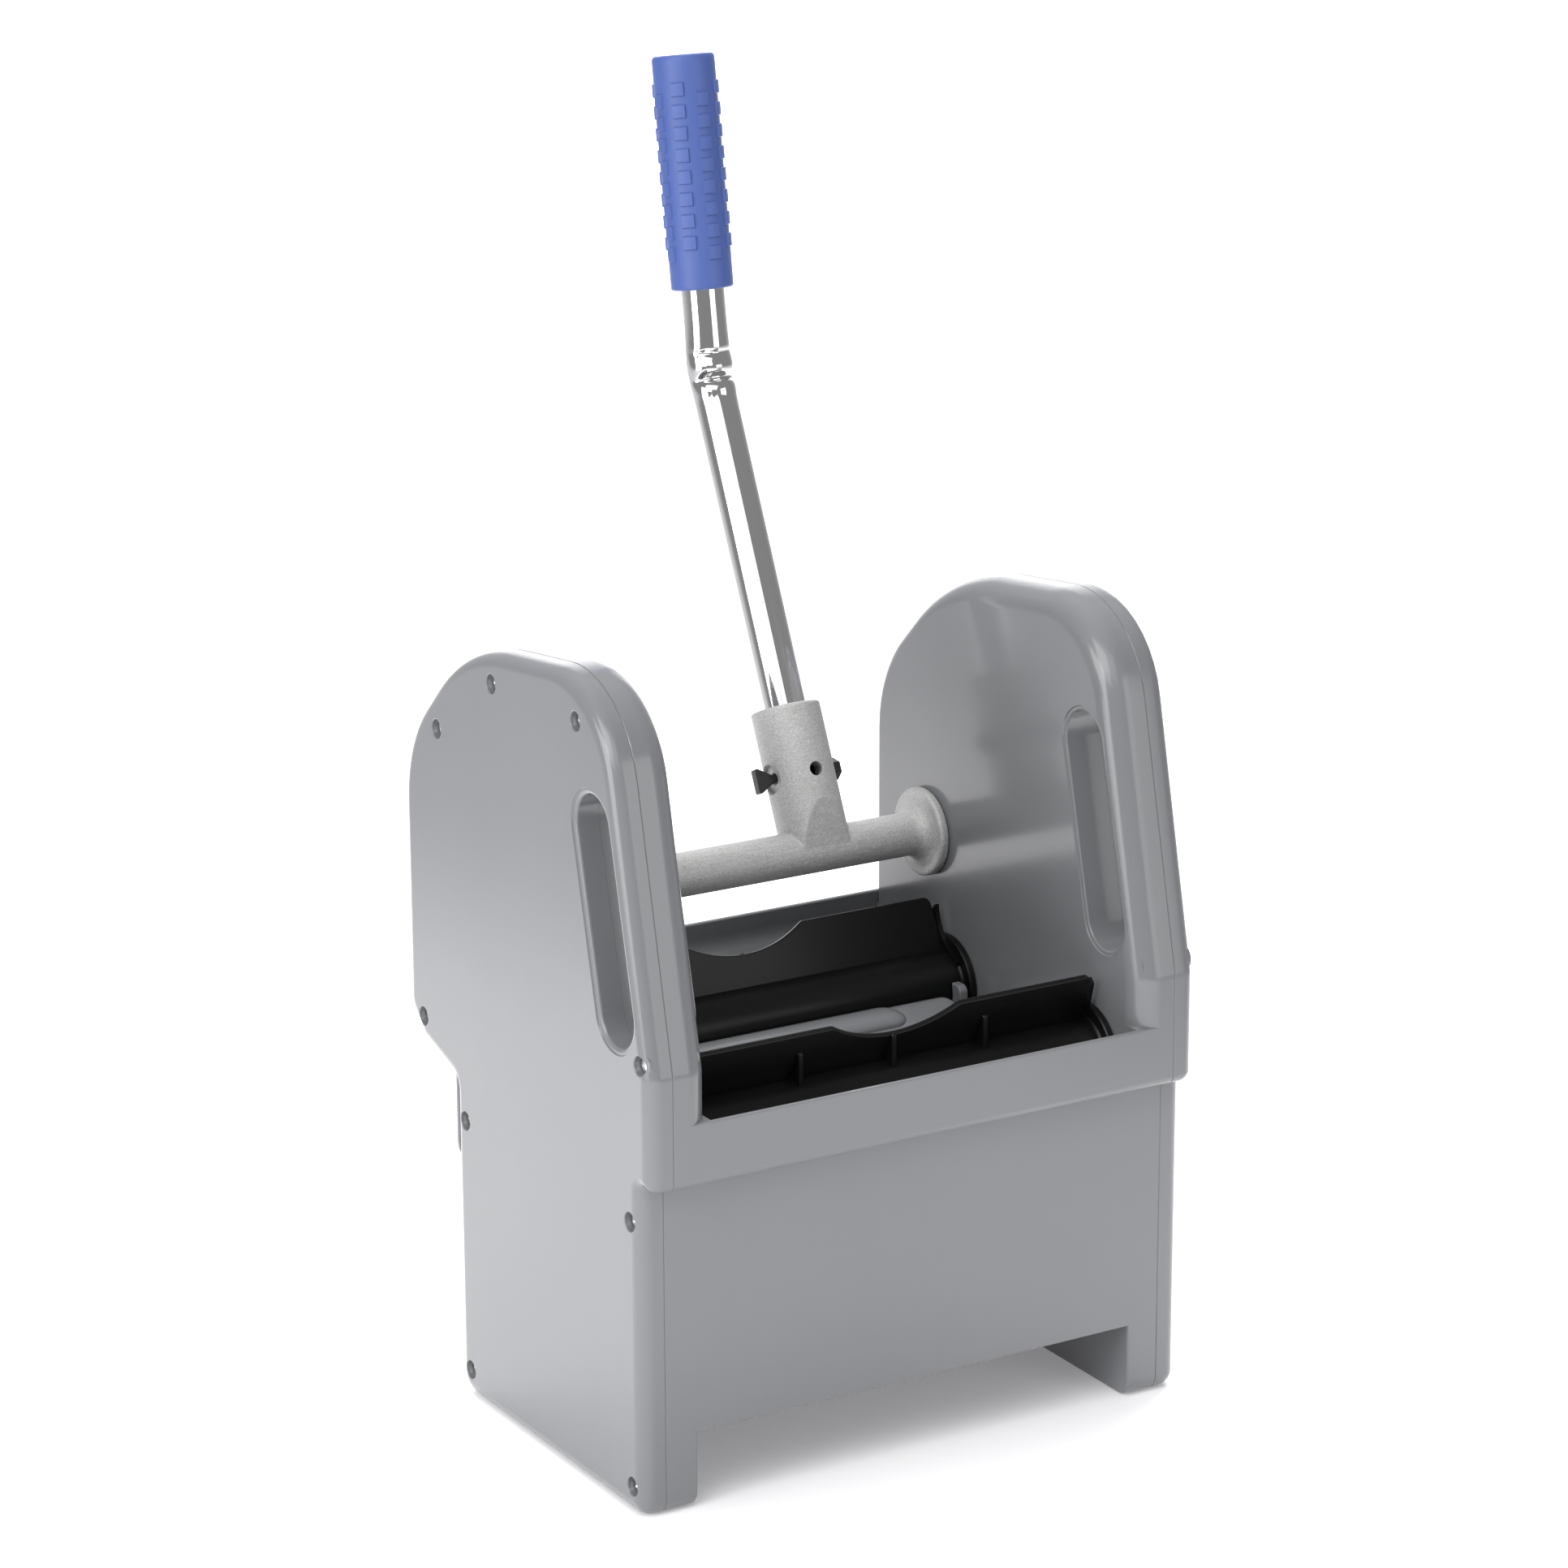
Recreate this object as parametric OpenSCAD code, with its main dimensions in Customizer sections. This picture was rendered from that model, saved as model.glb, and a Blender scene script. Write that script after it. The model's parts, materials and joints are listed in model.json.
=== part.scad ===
// Down-press mop wringer that hangs in the end of a mop bucket.
// Two hollow side housings carry two press plates and a lever; gears inside
// the housings close the plates when the lever is pressed down and back.
// Frame: +X right, front faces -Y, +Z up, origin on the floor at the middle
// of the plan box. Side outlines are given as [y, z].

/* [Housing] */
// Width over both side covers
overall_w = 300; // [296:1:310]
// Distance from the middle to the inner face of a side panel
panel_in = 117; // [116.8:0.1:117.2]
// Distance from the middle to the seam between body and cover
seam_x = 137.4; // [136:0.1:138]
// Distance from the middle to the inner face of a foot
foot_in = 120.5; // [120:0.1:121]
// Wall thickness of the mouldings
wall = 3; // [2.6:0.1:3.2]
// Front face of the band across the front
band_y = -165; // [-166:0.5:-164]
// Front face of the lower body
apron_y = -155; // [-156:0.5:-154]
// Rear face of the lower body
lower_rear_y = 26; // [25:0.5:27]
// Rear edge of the upper housings
upper_rear_y = 73.5; // [72:0.5:75]
// Underside of the front band
band_z = 161.5; // [160:0.5:163]
// Top edge of the front band
band_top = 192.5; // [191:0.5:194]
// Top edge of the rear wall
rear_top = 199.5; // [198:0.5:201]
// Lower edge of the front and rear aprons, between the feet
apron_z = 37.5; // [34:0.5:42]
// Edge radius of a cover's outer face
cover_edge_r = 7.6; // [6:0.1:9]
// Edge radius of a side panel's inner face
panel_edge_r = 13; // [12:0.5:14]

/* [Hand slots] */
// Width of the hand slot through each side housing
slot_w = 30; // [28:0.5:32]
// Length of the hand slot
slot_l = 116; // [110:1:120]
// Lean of the hand slot from upright
slot_tilt = 13.6; // [12:0.2:15]

/* [Wringing bed] */
// Top of the pan that closes the chamber under the bed
pan_top = 151.5; // [150.5:0.5:151.5]
// Height of the bed's valley, between the two plates
bed_low = 165; // [164:0.5:166]
// Rise of the bed's slopes, per millimetre
bed_slope = 0.27; // [0.22:0.01:0.3]
// Drain slots in each row
drain_count = 8; // [6:1:8]
// Distance between drain slots
drain_pitch = 15.5; // [14:0.5:16]

/* [Press plates] */
// Radius of the barrel that a press plate turns on
barrel_r = 18; // [17:0.5:18]
// Radius of the disc at each end of a press plate
disc_r = 24.6; // [23:0.2:25]
// Height of the flat paddle, from its root inside the barrel
paddle_h = 30; // [28:1:31]
// Outward lean of the paddle from upright
paddle_lean = 22; // [20:1:24]
// Depth of the round cut-out in the paddle's top edge
scallop = 11; // [8:1:14]
// Radius of that cut-out
scallop_r = 61; // [55:1:70]

/* [Lever] */
// Place of the tube and its socket along the cross bar
lever_x = 52.7; // [30:0.1:60]
// Lean of the lower tube from upright, towards the rear
lever_lean = 24.6; // [24:0.1:26]
// Lean of the upper tube from upright
upper_lean = 8.8; // [8:0.1:9.5]
// Outer diameter of the lever tube
tube_d = 22; // [22:0.1:22]
// Wall of the lever tube
tube_t = 1.5; // [1:0.1:2]
// Distance from the cross bar's axis to the corner of the bend
bend_at = 245.3; // [244:0.1:247]
// Distance from the corner of the bend to the end of the grip
upper_l = 158.2; // [157:0.1:160]
// Length of the grip
grip_l = 116; // [115:0.5:118]
// Diameter of the grip
grip_d = 31.4; // [30:0.2:32]
// Diameter of the cross bar
bar_d = 22; // [21:0.2:23]
// Diameter of the cross bar's end flanges
flange_d = 45; // [44:0.5:46]
// Outer diameter of the tube socket
socket_d = 35; // [34:0.5:36]
// Length of the tube socket, from the cross bar's axis
socket_l = 73; // [70:0.5:75]

/* [Gears] */
// Gear module
gear_m = 3; // [3:1:3]
// Teeth of a full drive gear on the lever shaft
drive_teeth = 27; // [27:1:27]
// Teeth of a full rear plate gear that meets the drive gear
plate_teeth = 24; // [24:1:24]
// Teeth of a full gear that joins the two plates
link_teeth = 41; // [41:1:41]
// Play between meshing teeth, along the pitch circle
backlash = 0.4; // [0.3:0.05:0.6]

/* [Fits] */
// Radial clearance of each running shaft
run_gap = 0.05; // [0.03:0.01:0.08]
// Side clearance between moving pieces and the panels
side_gap = 0.3; // [0.3:0.05:0.5]
// Radius of the shaft journals
journal_r = 11; // [11:0.5:11]

/* [Hidden] */
$fn = 64;
cut = 1;

// Shaft axes as [y, z]: the rear plate's, the front plate's and the lever's.
rear_axis = [-1, 171];
plate_gap = link_teeth * gear_m;
front_axis = rear_axis - [plate_gap, 0];
lever_gap = (drive_teeth + plate_teeth) * gear_m / 2;
lever_dy = 24;
lever_axis = rear_axis + [lever_dy, sqrt(lever_gap * lever_gap - lever_dy * lever_dy)];
mid_y = (rear_axis[0] + front_axis[0]) / 2;
to_lever = atan2(lever_axis[1] - rear_axis[1], lever_dy);
axes = [lever_axis, rear_axis, front_axis];

half_w = overall_w / 2;
shoulder = [59, 171.1];
shoulder_low_z = 160.5;

// Corners of the side outline, each [y, z, corner radius].
outline = [[apron_y, 0, 8], [apron_y, band_z, 1], [band_y, band_z, 5],
    [band_y, 216.5, 14], [-125.2, 395, 55], [9.7, 380.2, 118],
    [upper_rear_y, 319.4, 70], [upper_rear_y, 185.5, 14], [shoulder[0], shoulder[1], 6],
    [lower_rear_y, shoulder_low_z, 6], [lower_rear_y, 0, 12]];

// Cover screws as [y, z].
screw_at = [[-20.3, 368], [36.3, 333], [-101.3, 369.4], [57, 183.5], [-156, 222.1],
    [15.4, 142.5], [-145.5, 144.2], [15.4, 13.5], [-145, 13.5]];
screw_r = 2;
screw_head_r = 3.7;
screw_recess_r = 4.5;
screw_recess = 5;
slot_at = [-124.5, 281.3];

// Places along X inside a housing, measured from the middle.
journal_x = panel_in - side_gap;
boss_x = panel_in + 7;
link_x0 = 125;
link_x1 = 132;
drive_x0 = 133.5;
drive_x1 = 141.5;
washer_t = 1.5;
bolt_head_x = drive_x1 + washer_t;
bolt_head_t = 4;
bolt_r = 3;
bolt_end_x = 95;
tang = 12;
tang_x = 105;
bush_r = 14;
hub_r = 13;
disc_x = 113;
bed_half_x = 99;
saddle_x0 = 105.5;
saddle_x1 = 110.3;
screw_axis_z = 38.5;

// ---------- helpers ----------

// Extrudes a [y, z] outline from x0 to x1.
module along_x(x0, x1) {
    translate([x0, 0, 0]) rotate([90, 0, 90]) linear_extrude(x1 - x0) children();
}

module at_axis(a) {
    translate([0, a[0], a[1]]) children();
}

// Turns right-hand pieces into left-hand ones.
module on_side(s) {
    if (s > 0) children();
    else mirror([1, 0, 0]) children();
}

module both_sides() {
    children();
    mirror([1, 0, 0]) children();
}

// Arc that rounds corner c, between neighbours p and q.
function corner_arc(p, c, q, r, n = 8) =
    let (u = (p - c) / norm(p - c), v = (q - c) / norm(q - c), half = acos(u * v) / 2,
        s = c + u * r / tan(half), e = c + v * r / tan(half),
        o = c + (u + v) / norm(u + v) * r / sin(half),
        a0 = atan2(s[1] - o[1], s[0] - o[0]), a1 = atan2(e[1] - o[1], e[0] - o[0]),
        sweep = (a1 - a0 + 540) % 360 - 180)
    [for (i = [0:n]) let (a = a0 + sweep * i / n) o + r * [cos(a), sin(a)]];

// Outline with every corner [y, z, radius] rounded.
function rounded(pts) =
    let (n = len(pts), xy = [for (p = pts) [p[0], p[1]]])
    [for (i = [0:n - 1]) each pts[i][2] == 0 ? [xy[i]]
        : corner_arc(xy[(i + n - 1) % n], xy[i], xy[(i + 1) % n], pts[i][2])];

// How far a rounded edge of radius r stands back at depth t.
function edge_inset(r, t) = r - sqrt(r * r - (r - t) * (r - t));

module side_2d(inset = 0) {
    offset(delta = -inset) polygon(rounded(outline));
}

// The part of a 2D shape between two heights.
module between(z0, z1) {
    intersection() {
        children();
        translate([-300, z0]) square([600, z1 - z0]);
    }
}

module slot_2d(grow = 0) {
    translate(slot_at) rotate(-slot_tilt) {
        for (s = [-1, 1]) translate([0, s * (slot_l - slot_w) / 2]) circle(slot_w / 2 + grow);
        square([slot_w + 2 * grow, slot_l - slot_w], center = true);
    }
}

// ---------- housings ----------

// Right half of the body: the tray that a cover closes.
module side_tray() {
    top = 400;
    steps = [0, 1, 2.8, 6, 13];
    slot_wall = 2.5;
    post_r = 5;
    boss_r = 18;
    rim_w = 8;
    rim_x = panel_in + 9;
    difference() {
        union() {
            along_x(foot_in, seam_x) between(0, pan_top) side_2d();
            along_x(panel_in, seam_x) between(pan_top - wall, band_top) side_2d();
            for (i = [0:3]) {
                inset = edge_inset(panel_edge_r, (steps[i] + steps[i + 1]) / 2);
                along_x(panel_in + steps[i], seam_x) between(band_top - cut, top) side_2d(inset);
            }
        }
        along_x(foot_in + wall, seam_x + cut) between(0, pan_top + cut) side_2d(wall);
        along_x(panel_in + wall, seam_x + cut) between(pan_top, band_top - wall) side_2d(wall);
        along_x(panel_in + wall, seam_x + cut) between(band_top - wall - cut, top) side_2d(rim_w);
        along_x(rim_x, seam_x + cut) between(band_top - wall - cut, top) side_2d(wall + 1);
    }
    difference() {
        union() {
            for (a = axes) at_axis(a) along_x(panel_in, boss_x) circle(boss_r);
            for (s = screw_at) at_axis(s)
                along_x((s[1] < pan_top ? foot_in : panel_in) + (s[0] < apron_y ? 4.5 : cut),
                    seam_x) circle(post_r);
            along_x(panel_in, seam_x) slot_2d(slot_wall);
            at_axis(lever_axis + spring_foot) along_x(panel_in + cut, peg_x) circle(3);
        }
        tray_holes();
    }
}

module tray_holes() {
    for (a = axes) at_axis(a) along_x(panel_in - cut, boss_x + cut) circle(bush_r);
    for (s = screw_at) at_axis(s) along_x(foot_in + wall + 1, seam_x + cut) circle(screw_r + 0.05);
    along_x(panel_in - cut, seam_x + cut) slot_2d();
}

// Hollow raised bed between the plates, with drain slots and two beads.
module wringing_bed() {
    lip = 42;
    corner_r = 8;
    bead = [36.8, 173.8];
    bead_r = 4.5;
    bead_half = 68;
    slot_row = 10.5;
    lip_z = bed_low + bed_slope * lip;
    profile = [[-lip, pan_top - wall, 0], [lip, pan_top - wall, 0], [lip, lip_z, corner_r],
        [0, bed_low, 20], [-lip, lip_z, corner_r]];
    difference() {
        along_x(-bed_half_x, bed_half_x) polygon(rounded(profile));
        along_x(-bed_half_x + wall, bed_half_x - wall)
            offset(delta = -wall) polygon(rounded(profile));
        translate([-bed_half_x + wall, wall - lip, pan_top - wall - cut])
            cube([2 * (bed_half_x - wall), 2 * (lip - wall), wall + 2 * cut]);
        for (s = [-1, 1], i = [0:drain_count - 1])
            translate([(i - (drain_count - 1) / 2) * drain_pitch, s * slot_row, bed_low])
                cube([8.4, 3, 14], center = true);
    }
    for (s = [-1, 1]) translate([0, s * bead[0], bead[1]]) {
        rotate([0, 90, 0]) cylinder(r = bead_r, h = 2 * bead_half, center = true);
        for (e = [-1, 1]) translate([e * bead_half, 0, 0]) sphere(bead_r);
    }
}

// Floor of the chamber, with room under the bed and round the end discs.
module pan() {
    disc_room = disc_r + 1.4;
    difference() {
        translate([-panel_in - cut, apron_y + cut, pan_top - wall])
            cube([2 * (panel_in + cut), lower_rear_y - apron_y - 2 * cut, wall]);
        translate([-bed_half_x + wall, mid_y - 39, pan_top - wall - cut])
            cube([2 * (bed_half_x - wall), 78, wall + 2 * cut]);
        both_sides() for (a = [rear_axis, front_axis])
            at_axis(a) along_x(disc_x - 0.7, panel_in) circle(disc_room);
    }
}

// Cradles that the ends of the barrels lie in.
module saddles() {
    saddle_top = 175;
    saddle_half = 23;
    both_sides() for (a = [rear_axis, front_axis]) along_x(saddle_x0, saddle_x1) difference() {
        translate([a[0] - saddle_half, pan_top - cut])
            square([2 * saddle_half, saddle_top - pan_top + cut]);
        translate(a) circle(barrel_r + 1.2);
    }
}

// Front and rear walls between the side trays.
module cross_walls() {
    along_x(-panel_in - cut, panel_in + cut) {
        between(pan_top - wall, band_top) intersection() {
            difference() { side_2d(); side_2d(wall); }
            translate([-300, 0]) square([300 + mid_y, 400]);
        }
        between(pan_top - wall, rear_top) intersection() {
            difference() { side_2d(); side_2d(wall); }
            translate([mid_y, 0]) square([300, 400]);
        }
    }
    for (y = [apron_y, lower_rear_y - wall])
        translate([-foot_in - cut, y, apron_z])
            cube([2 * (foot_in + cut), wall, pan_top - apron_z]);
}

// Skirt that hangs from the rear shoulder; the bucket's end wall goes behind it.
module hanging_skirt() {
    skirt = [[-seam_x, 169, 0], [-seam_x, 106.5, 12], [seam_x, 106.5, 12], [seam_x, 169, 0]];
    translate([0, 49.5, 0]) rotate([90, 0, 0]) linear_extrude(wall) polygon(rounded(skirt));
}

module main_body() {
    color("darkgray") difference() {
        union() {
            both_sides() side_tray();
            cross_walls();
            pan();
            translate([0, mid_y, 0]) wringing_bed();
            saddles();
            hanging_skirt();
        }
        both_sides() tray_holes();
    }
}

module cover(s) {
    steps = [0, 0.8, 2.2, 4.2, 7.6];
    slot_wall = 2.5;
    post_r = 7.3;
    post_x = half_w - 2.3;
    rim_x = half_w - 1;
    face_t = 2.5;
    color("silver") on_side(s) difference() {
        union() {
            difference() {
                for (i = [0:3]) {
                    inset = edge_inset(cover_edge_r, (steps[i] + steps[i + 1]) / 2);
                    along_x(seam_x, half_w - steps[i]) side_2d(inset);
                }
                along_x(seam_x - cut, half_w - 5.5) side_2d(wall);
                along_x(seam_x - cut, half_w - face_t) side_2d(2 * wall);
            }
            for (p = screw_at) at_axis(p) along_x(seam_x, post_x) circle(post_r);
            along_x(seam_x, rim_x) slot_2d(slot_wall);
        }
        for (p = screw_at) at_axis(p) {
            along_x(seam_x - cut, half_w) circle(screw_r + 0.25);
            along_x(half_w - screw_recess, half_w + cut) circle(screw_recess_r);
        }
        along_x(seam_x - cut, half_w + cut) slot_2d();
    }
}

// Nine cross-head screws; each head sits on the floor of its recess.
module cover_screws(s) {
    seat = half_w - screw_recess;
    head_t = 2.4;
    color("lightgray") on_side(s) for (p = screw_at) at_axis(p) difference() {
        union() {
            along_x(seam_x - 12, seat) circle(screw_r);
            along_x(seat, seat + head_t) circle(screw_head_r);
        }
        for (a = [0, 90]) rotate([a, 0, 0])
            translate([seat + head_t, 0, 0]) cube([2.4, 0.9, 4.4], center = true);
    }
}

// ---------- press plates ----------

module paddle_2d() {
    root = 113.4;
    tip = 109.4;
    r = 4;
    offset(r = r) offset(delta = -r) difference() {
        polygon([[-root, -r], [root, -r], [tip, paddle_h], [-tip, paddle_h]]);
        translate([0, paddle_h - scallop + scallop_r]) circle(scallop_r, $fn = 96);
    }
}

// Web that ties the paddle's end to the disc.
module end_web() {
    along_x(saddle_x1 + 0.6, disc_x + 0.2) intersection() {
        difference() {
            polygon([[0, 5], [8.5, 37], [-19, 15]]);
            translate([-21.5, 41.5]) circle(27.5);
        }
        translate([-30, 0]) square([60, 60]);
    }
}

// One press plate about its own axis, as it stands at the rear.
module press_plate() {
    root = [-0.6, 14.7];
    rib_t = 2.5;
    difference() {
        union() {
            difference() {
                along_x(-disc_x, disc_x) circle(barrel_r);
                along_x(-98, 98) circle(barrel_r - 3.5);
            }
            both_sides() {
                along_x(disc_x, journal_x) circle(disc_r);
                end_web();
            }
            at_axis(root) rotate([-paddle_lean, 0, 0]) {
                rotate([90, 0, 0]) linear_extrude(wall, center = true) paddle_2d();
                for (x = [-51, 0, 51]) along_x(x - rib_t / 2, x + rib_t / 2)
                    polygon([[1, 16], [3.5, 14], [7.5, -1], [1, -1]]);
            }
        }
        both_sides() {
            along_x(tang_x - 0.2, journal_x + cut) square(tang + 0.2, center = true);
            along_x(bolt_end_x - 2, tang_x) circle(bolt_r + 0.05);
        }
    }
}

module rear_press_plate() {
    color("dimgray") at_axis(rear_axis) press_plate();
}

module front_press_plate() {
    color("dimgray") at_axis(front_axis) rotate([0, 0, 180]) press_plate();
}

// ---------- lever ----------

// Lever frame: origin on the cross bar's axis, +Z up the lower tube.
module at_lever() {
    translate([lever_x, lever_axis[0], lever_axis[1]]) rotate([-lever_lean, 0, 0]) children();
}

bend = lever_lean - upper_lean;

// Upper tube frame: origin at the corner of the bend, +Z up the upper tube.
module at_upper() {
    at_lever() translate([0, 0, bend_at]) rotate([bend, 0, 0]) children();
}

module lever_casting() {
    spot_x = [-14.7, 16.5];
    taper_z = 24;
    bar_r = bar_d / 2;
    sunk = 4;
    flare = (socket_d / 2 - bar_r) / taper_z;
    low_w = bar_r - flare * 2 * sunk;
    top_w = bar_r + flare * 2 * socket_l;
    cone_l = 7.5;
    cone_r = 19;
    color("gainsboro") difference() {
        union() {
            at_axis(lever_axis) both_sides() {
                along_x(-cut, journal_x) circle(bar_r);
                along_x(journal_x - 5, journal_x) circle(flange_d / 2);
                translate([journal_x - 5 - cone_l - cut, 0, 0]) rotate([0, 90, 0])
                    cylinder(r1 = cone_r - (cone_r - bar_r) * (1 + cut / cone_l), r2 = cone_r,
                        h = cone_l + cut);
            }
            at_lever() intersection() {
                translate([0, 0, -sunk]) cylinder(d = socket_d, h = socket_l + sunk);
                along_x(-socket_d, socket_d) polygon([[-low_w, -2 * sunk],
                    [low_w, -2 * sunk], [top_w, 2 * socket_l], [-top_w, 2 * socket_l]]);
            }
        }
        at_axis(lever_axis) both_sides() {
            along_x(tang_x - 0.2, journal_x + cut) square(tang + 0.2, center = true);
            along_x(bolt_end_x - 2, tang_x) circle(bolt_r + 0.05);
        }
        at_lever() {
            translate([0, 0, 14]) cylinder(d = tube_d + 2 * run_gap, h = socket_l);
            translate([0, 0, screw_axis_z]) {
                along_x(-30, 30) circle(bolt_r + run_gap);
                along_x(-30, spot_x[0]) circle(7.5);
                along_x(spot_x[1], 30) circle(7.5);
                rotate([90, 0, 0]) cylinder(r = 3.5, h = 30);
            }
        }
    }
}

// Straight length of tube up +Z from z0, cut at z1 by a plane that leans by half the bend.
module mitred_tube(z0, z1) {
    difference() {
        translate([0, 0, z0]) linear_extrude(z1 - z0 + tube_d) difference() {
            circle(d = tube_d);
            circle(d = tube_d - 2 * tube_t);
        }
        translate([0, 0, z1]) rotate([bend / 2, 0, 0]) translate([-50, -50, 0]) cube(100);
    }
}

module lever_tube() {
    foot = 14.5;
    grip_cap = 4;
    color("white") difference() {
        at_lever() {
            mitred_tube(foot, bend_at);
            translate([0, 0, bend_at]) rotate([bend, 0, 0]) mirror([0, 0, 1])
                translate([0, 0, grip_cap - upper_l]) mitred_tube(0, upper_l - grip_cap);
        }
        at_lever() translate([0, 0, screw_axis_z]) {
            along_x(-30, 30) circle(bolt_r + run_gap);
            rotate([90, 0, 0]) cylinder(r = 3.1, h = 30);
        }
    }
}

// Sleeve with a closed end and staggered columns of raised blocks.
module lever_grip() {
    columns = 8;
    rows = 8;
    pitch = 10.9;
    block = [3, 6.5, 7];
    plain = 15;
    chamfer = 2;
    grip_r = grip_d / 2;
    color("royalblue") at_upper() translate([0, 0, upper_l - grip_l]) difference() {
        union() {
            cylinder(r = grip_r, h = grip_l - chamfer);
            translate([0, 0, grip_l - chamfer]) cylinder(r1 = grip_r, r2 = grip_r - 1, h = chamfer);
            for (c = [0:columns - 1], k = [0:rows - 1]) rotate([0, 0, c * 360 / columns])
                translate([grip_r - 2, -block[1] / 2, plain + pitch * (k + (c % 2) / 2)])
                    cube(block);
        }
        translate([0, 0, -cut]) cylinder(d = tube_d + 2 * run_gap, h = grip_l - 4 + cut);
    }
}

// Hand screw that clamps the tube in the socket.
module wing_screw() {
    wing_x = -17.6;
    color("black") at_lever() translate([0, 0, screw_axis_z]) {
        along_x(wing_x - 2, 22.7) circle(bolt_r);
        translate([wing_x, 0, 0]) rotate([90, 0, 0]) linear_extrude(5, center = true)
            polygon([[0, -2.5], [0, 2.5], [-6.6, 6.3], [-8.1, 6.1], [-8.1, -6.1], [-6.6, -6.3]]);
    }
}

module wing_screw_nut() {
    color("black") at_lever() translate([0, 0, screw_axis_z]) along_x(16.5, 21.5) difference() {
        circle(d = 11.5, $fn = 6);
        circle(bolt_r + run_gap);
    }
}

// ---------- gear train ----------

// Half angle of a tooth at radius r, for an involute on base circle rb.
function involute(deg) = tan(deg) * 180 / PI - deg;
function half_tooth(teeth, rb, r) =
    let (pressure = r <= rb ? 0 : acos(rb / r), pitch_r = teeth * gear_m / 2)
    90 / teeth - backlash / 4 / pitch_r * 180 / PI + involute(20) - involute(pressure);

// Sector of a gear: teeth first..last, where tooth 0 points along angle at.
function sector(teeth, first, last, at) =
    let (r = teeth * gear_m / 2, rb = r * cos(20), root = r - 1.25 * gear_m, tip = r + gear_m,
        flank = [root, rb, r - 0.4 * gear_m, r, r + 0.5 * gear_m, tip])
    concat([[0, 0]], [for (i = [first:last]) let (a = at + i * 360 / teeth)
        each concat(
            [for (q = flank) let (h = a - half_tooth(teeth, rb, q)) q * [cos(h), sin(h)]],
            [for (k = [len(flank) - 1:-1:0]) let (q = flank[k], h = a + half_tooth(teeth, rb, q))
                q * [cos(h), sin(h)]])]);

// Shaft end shared by all six gears: hub, journal in the bush and square tang.
module gear_shaft(hub_x0 = link_x0) {
    along_x(hub_x0, drive_x1) circle(hub_r);
    along_x(journal_x, hub_x0 + cut) circle(journal_r);
    along_x(tang_x, journal_x + cut) square(tang, center = true);
}

module gear(axis, s) {
    color("whitesmoke") on_side(s) at_axis(axis) difference() {
        children();
        along_x(tang_x - cut, drive_x1 + cut) circle(bolt_r + 0.3);
    }
}

module drive_gear(s) {
    gear(lever_axis, s) {
        gear_shaft(drive_x0);
        along_x(drive_x0, drive_x1) polygon(sector(drive_teeth, -1, 5, to_lever + 180));
        at_axis(spring_peg) along_x(peg_x, drive_x0 + cut) circle(2);
    }
}

module rear_gear(s) {
    pitch = 360 / plate_teeth;
    gear(rear_axis, s) {
        gear_shaft();
        along_x(drive_x0, drive_x1) polygon(sector(plate_teeth, -5, 0, to_lever + pitch / 2));
        along_x(link_x0, link_x1) polygon(sector(link_teeth, -8, 1, 180));
        along_x(link_x1 - cut, drive_x0 + cut) circle(hub_r + 3);
    }
}

module front_gear(s) {
    pitch = 360 / link_teeth;
    gear(front_axis, s) {
        gear_shaft();
        along_x(link_x0, link_x1) polygon(sector(link_teeth, -1, 8, pitch / 2));
    }
}

// Flanged bush in a side panel.
module bush(axis, s) {
    color("ivory") on_side(s) at_axis(axis) difference() {
        union() {
            along_x(panel_in, boss_x + 0.8) circle(bush_r - 0.03);
            along_x(boss_x, boss_x + 0.8) circle(16.5);
        }
        along_x(panel_in - cut, boss_x + 2) circle(journal_r + run_gap);
    }
}

module gear_bolt(axis, s) {
    color("lightgray") on_side(s) at_axis(axis) difference() {
        union() {
            along_x(bolt_end_x, bolt_head_x) circle(bolt_r);
            along_x(bolt_head_x, bolt_head_x + bolt_head_t) circle(5);
        }
        along_x(bolt_head_x + 1.5, bolt_head_x + bolt_head_t + cut) circle(2.9, $fn = 6);
    }
}

module washer(axis, s) {
    color("lightgray") on_side(s) at_axis(axis)
        along_x(drive_x1, bolt_head_x) difference() {
            circle(8);
            circle(bolt_r + 0.2);
        }
}

// ---------- return spring ----------

spring_r = 15;
spring_wire = 1;
spring_turns = 2;
spring_x = 126.2;
peg_x = 129;
spring_pitch = 2.2;
spring_leg = 13;
spring_start = 100;
spring_end = spring_start - 360 * spring_turns - 150;

function spring_point(a) = [spring_x + spring_pitch * (spring_start - a) / 360,
    spring_r * cos(a), spring_r * sin(a)];
function spring_tangent(a) = [0, sin(a), -cos(a)];

// The fixed leg ends beside a post on the panel, the moving leg beside a peg.
leg_a = spring_point(spring_start) - spring_leg * spring_tangent(spring_start);
leg_b = spring_point(spring_end) + spring_leg * spring_tangent(spring_end);
spring_foot = [leg_a[1], leg_a[2]] + 4.1 * [cos(spring_start), sin(spring_start)]
    + 3 * [sin(spring_start), -cos(spring_start)];
spring_peg = [leg_b[1], leg_b[2]] + 3.1 * [cos(spring_end), sin(spring_end)]
    - 3 * [sin(spring_end), -cos(spring_end)];

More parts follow.
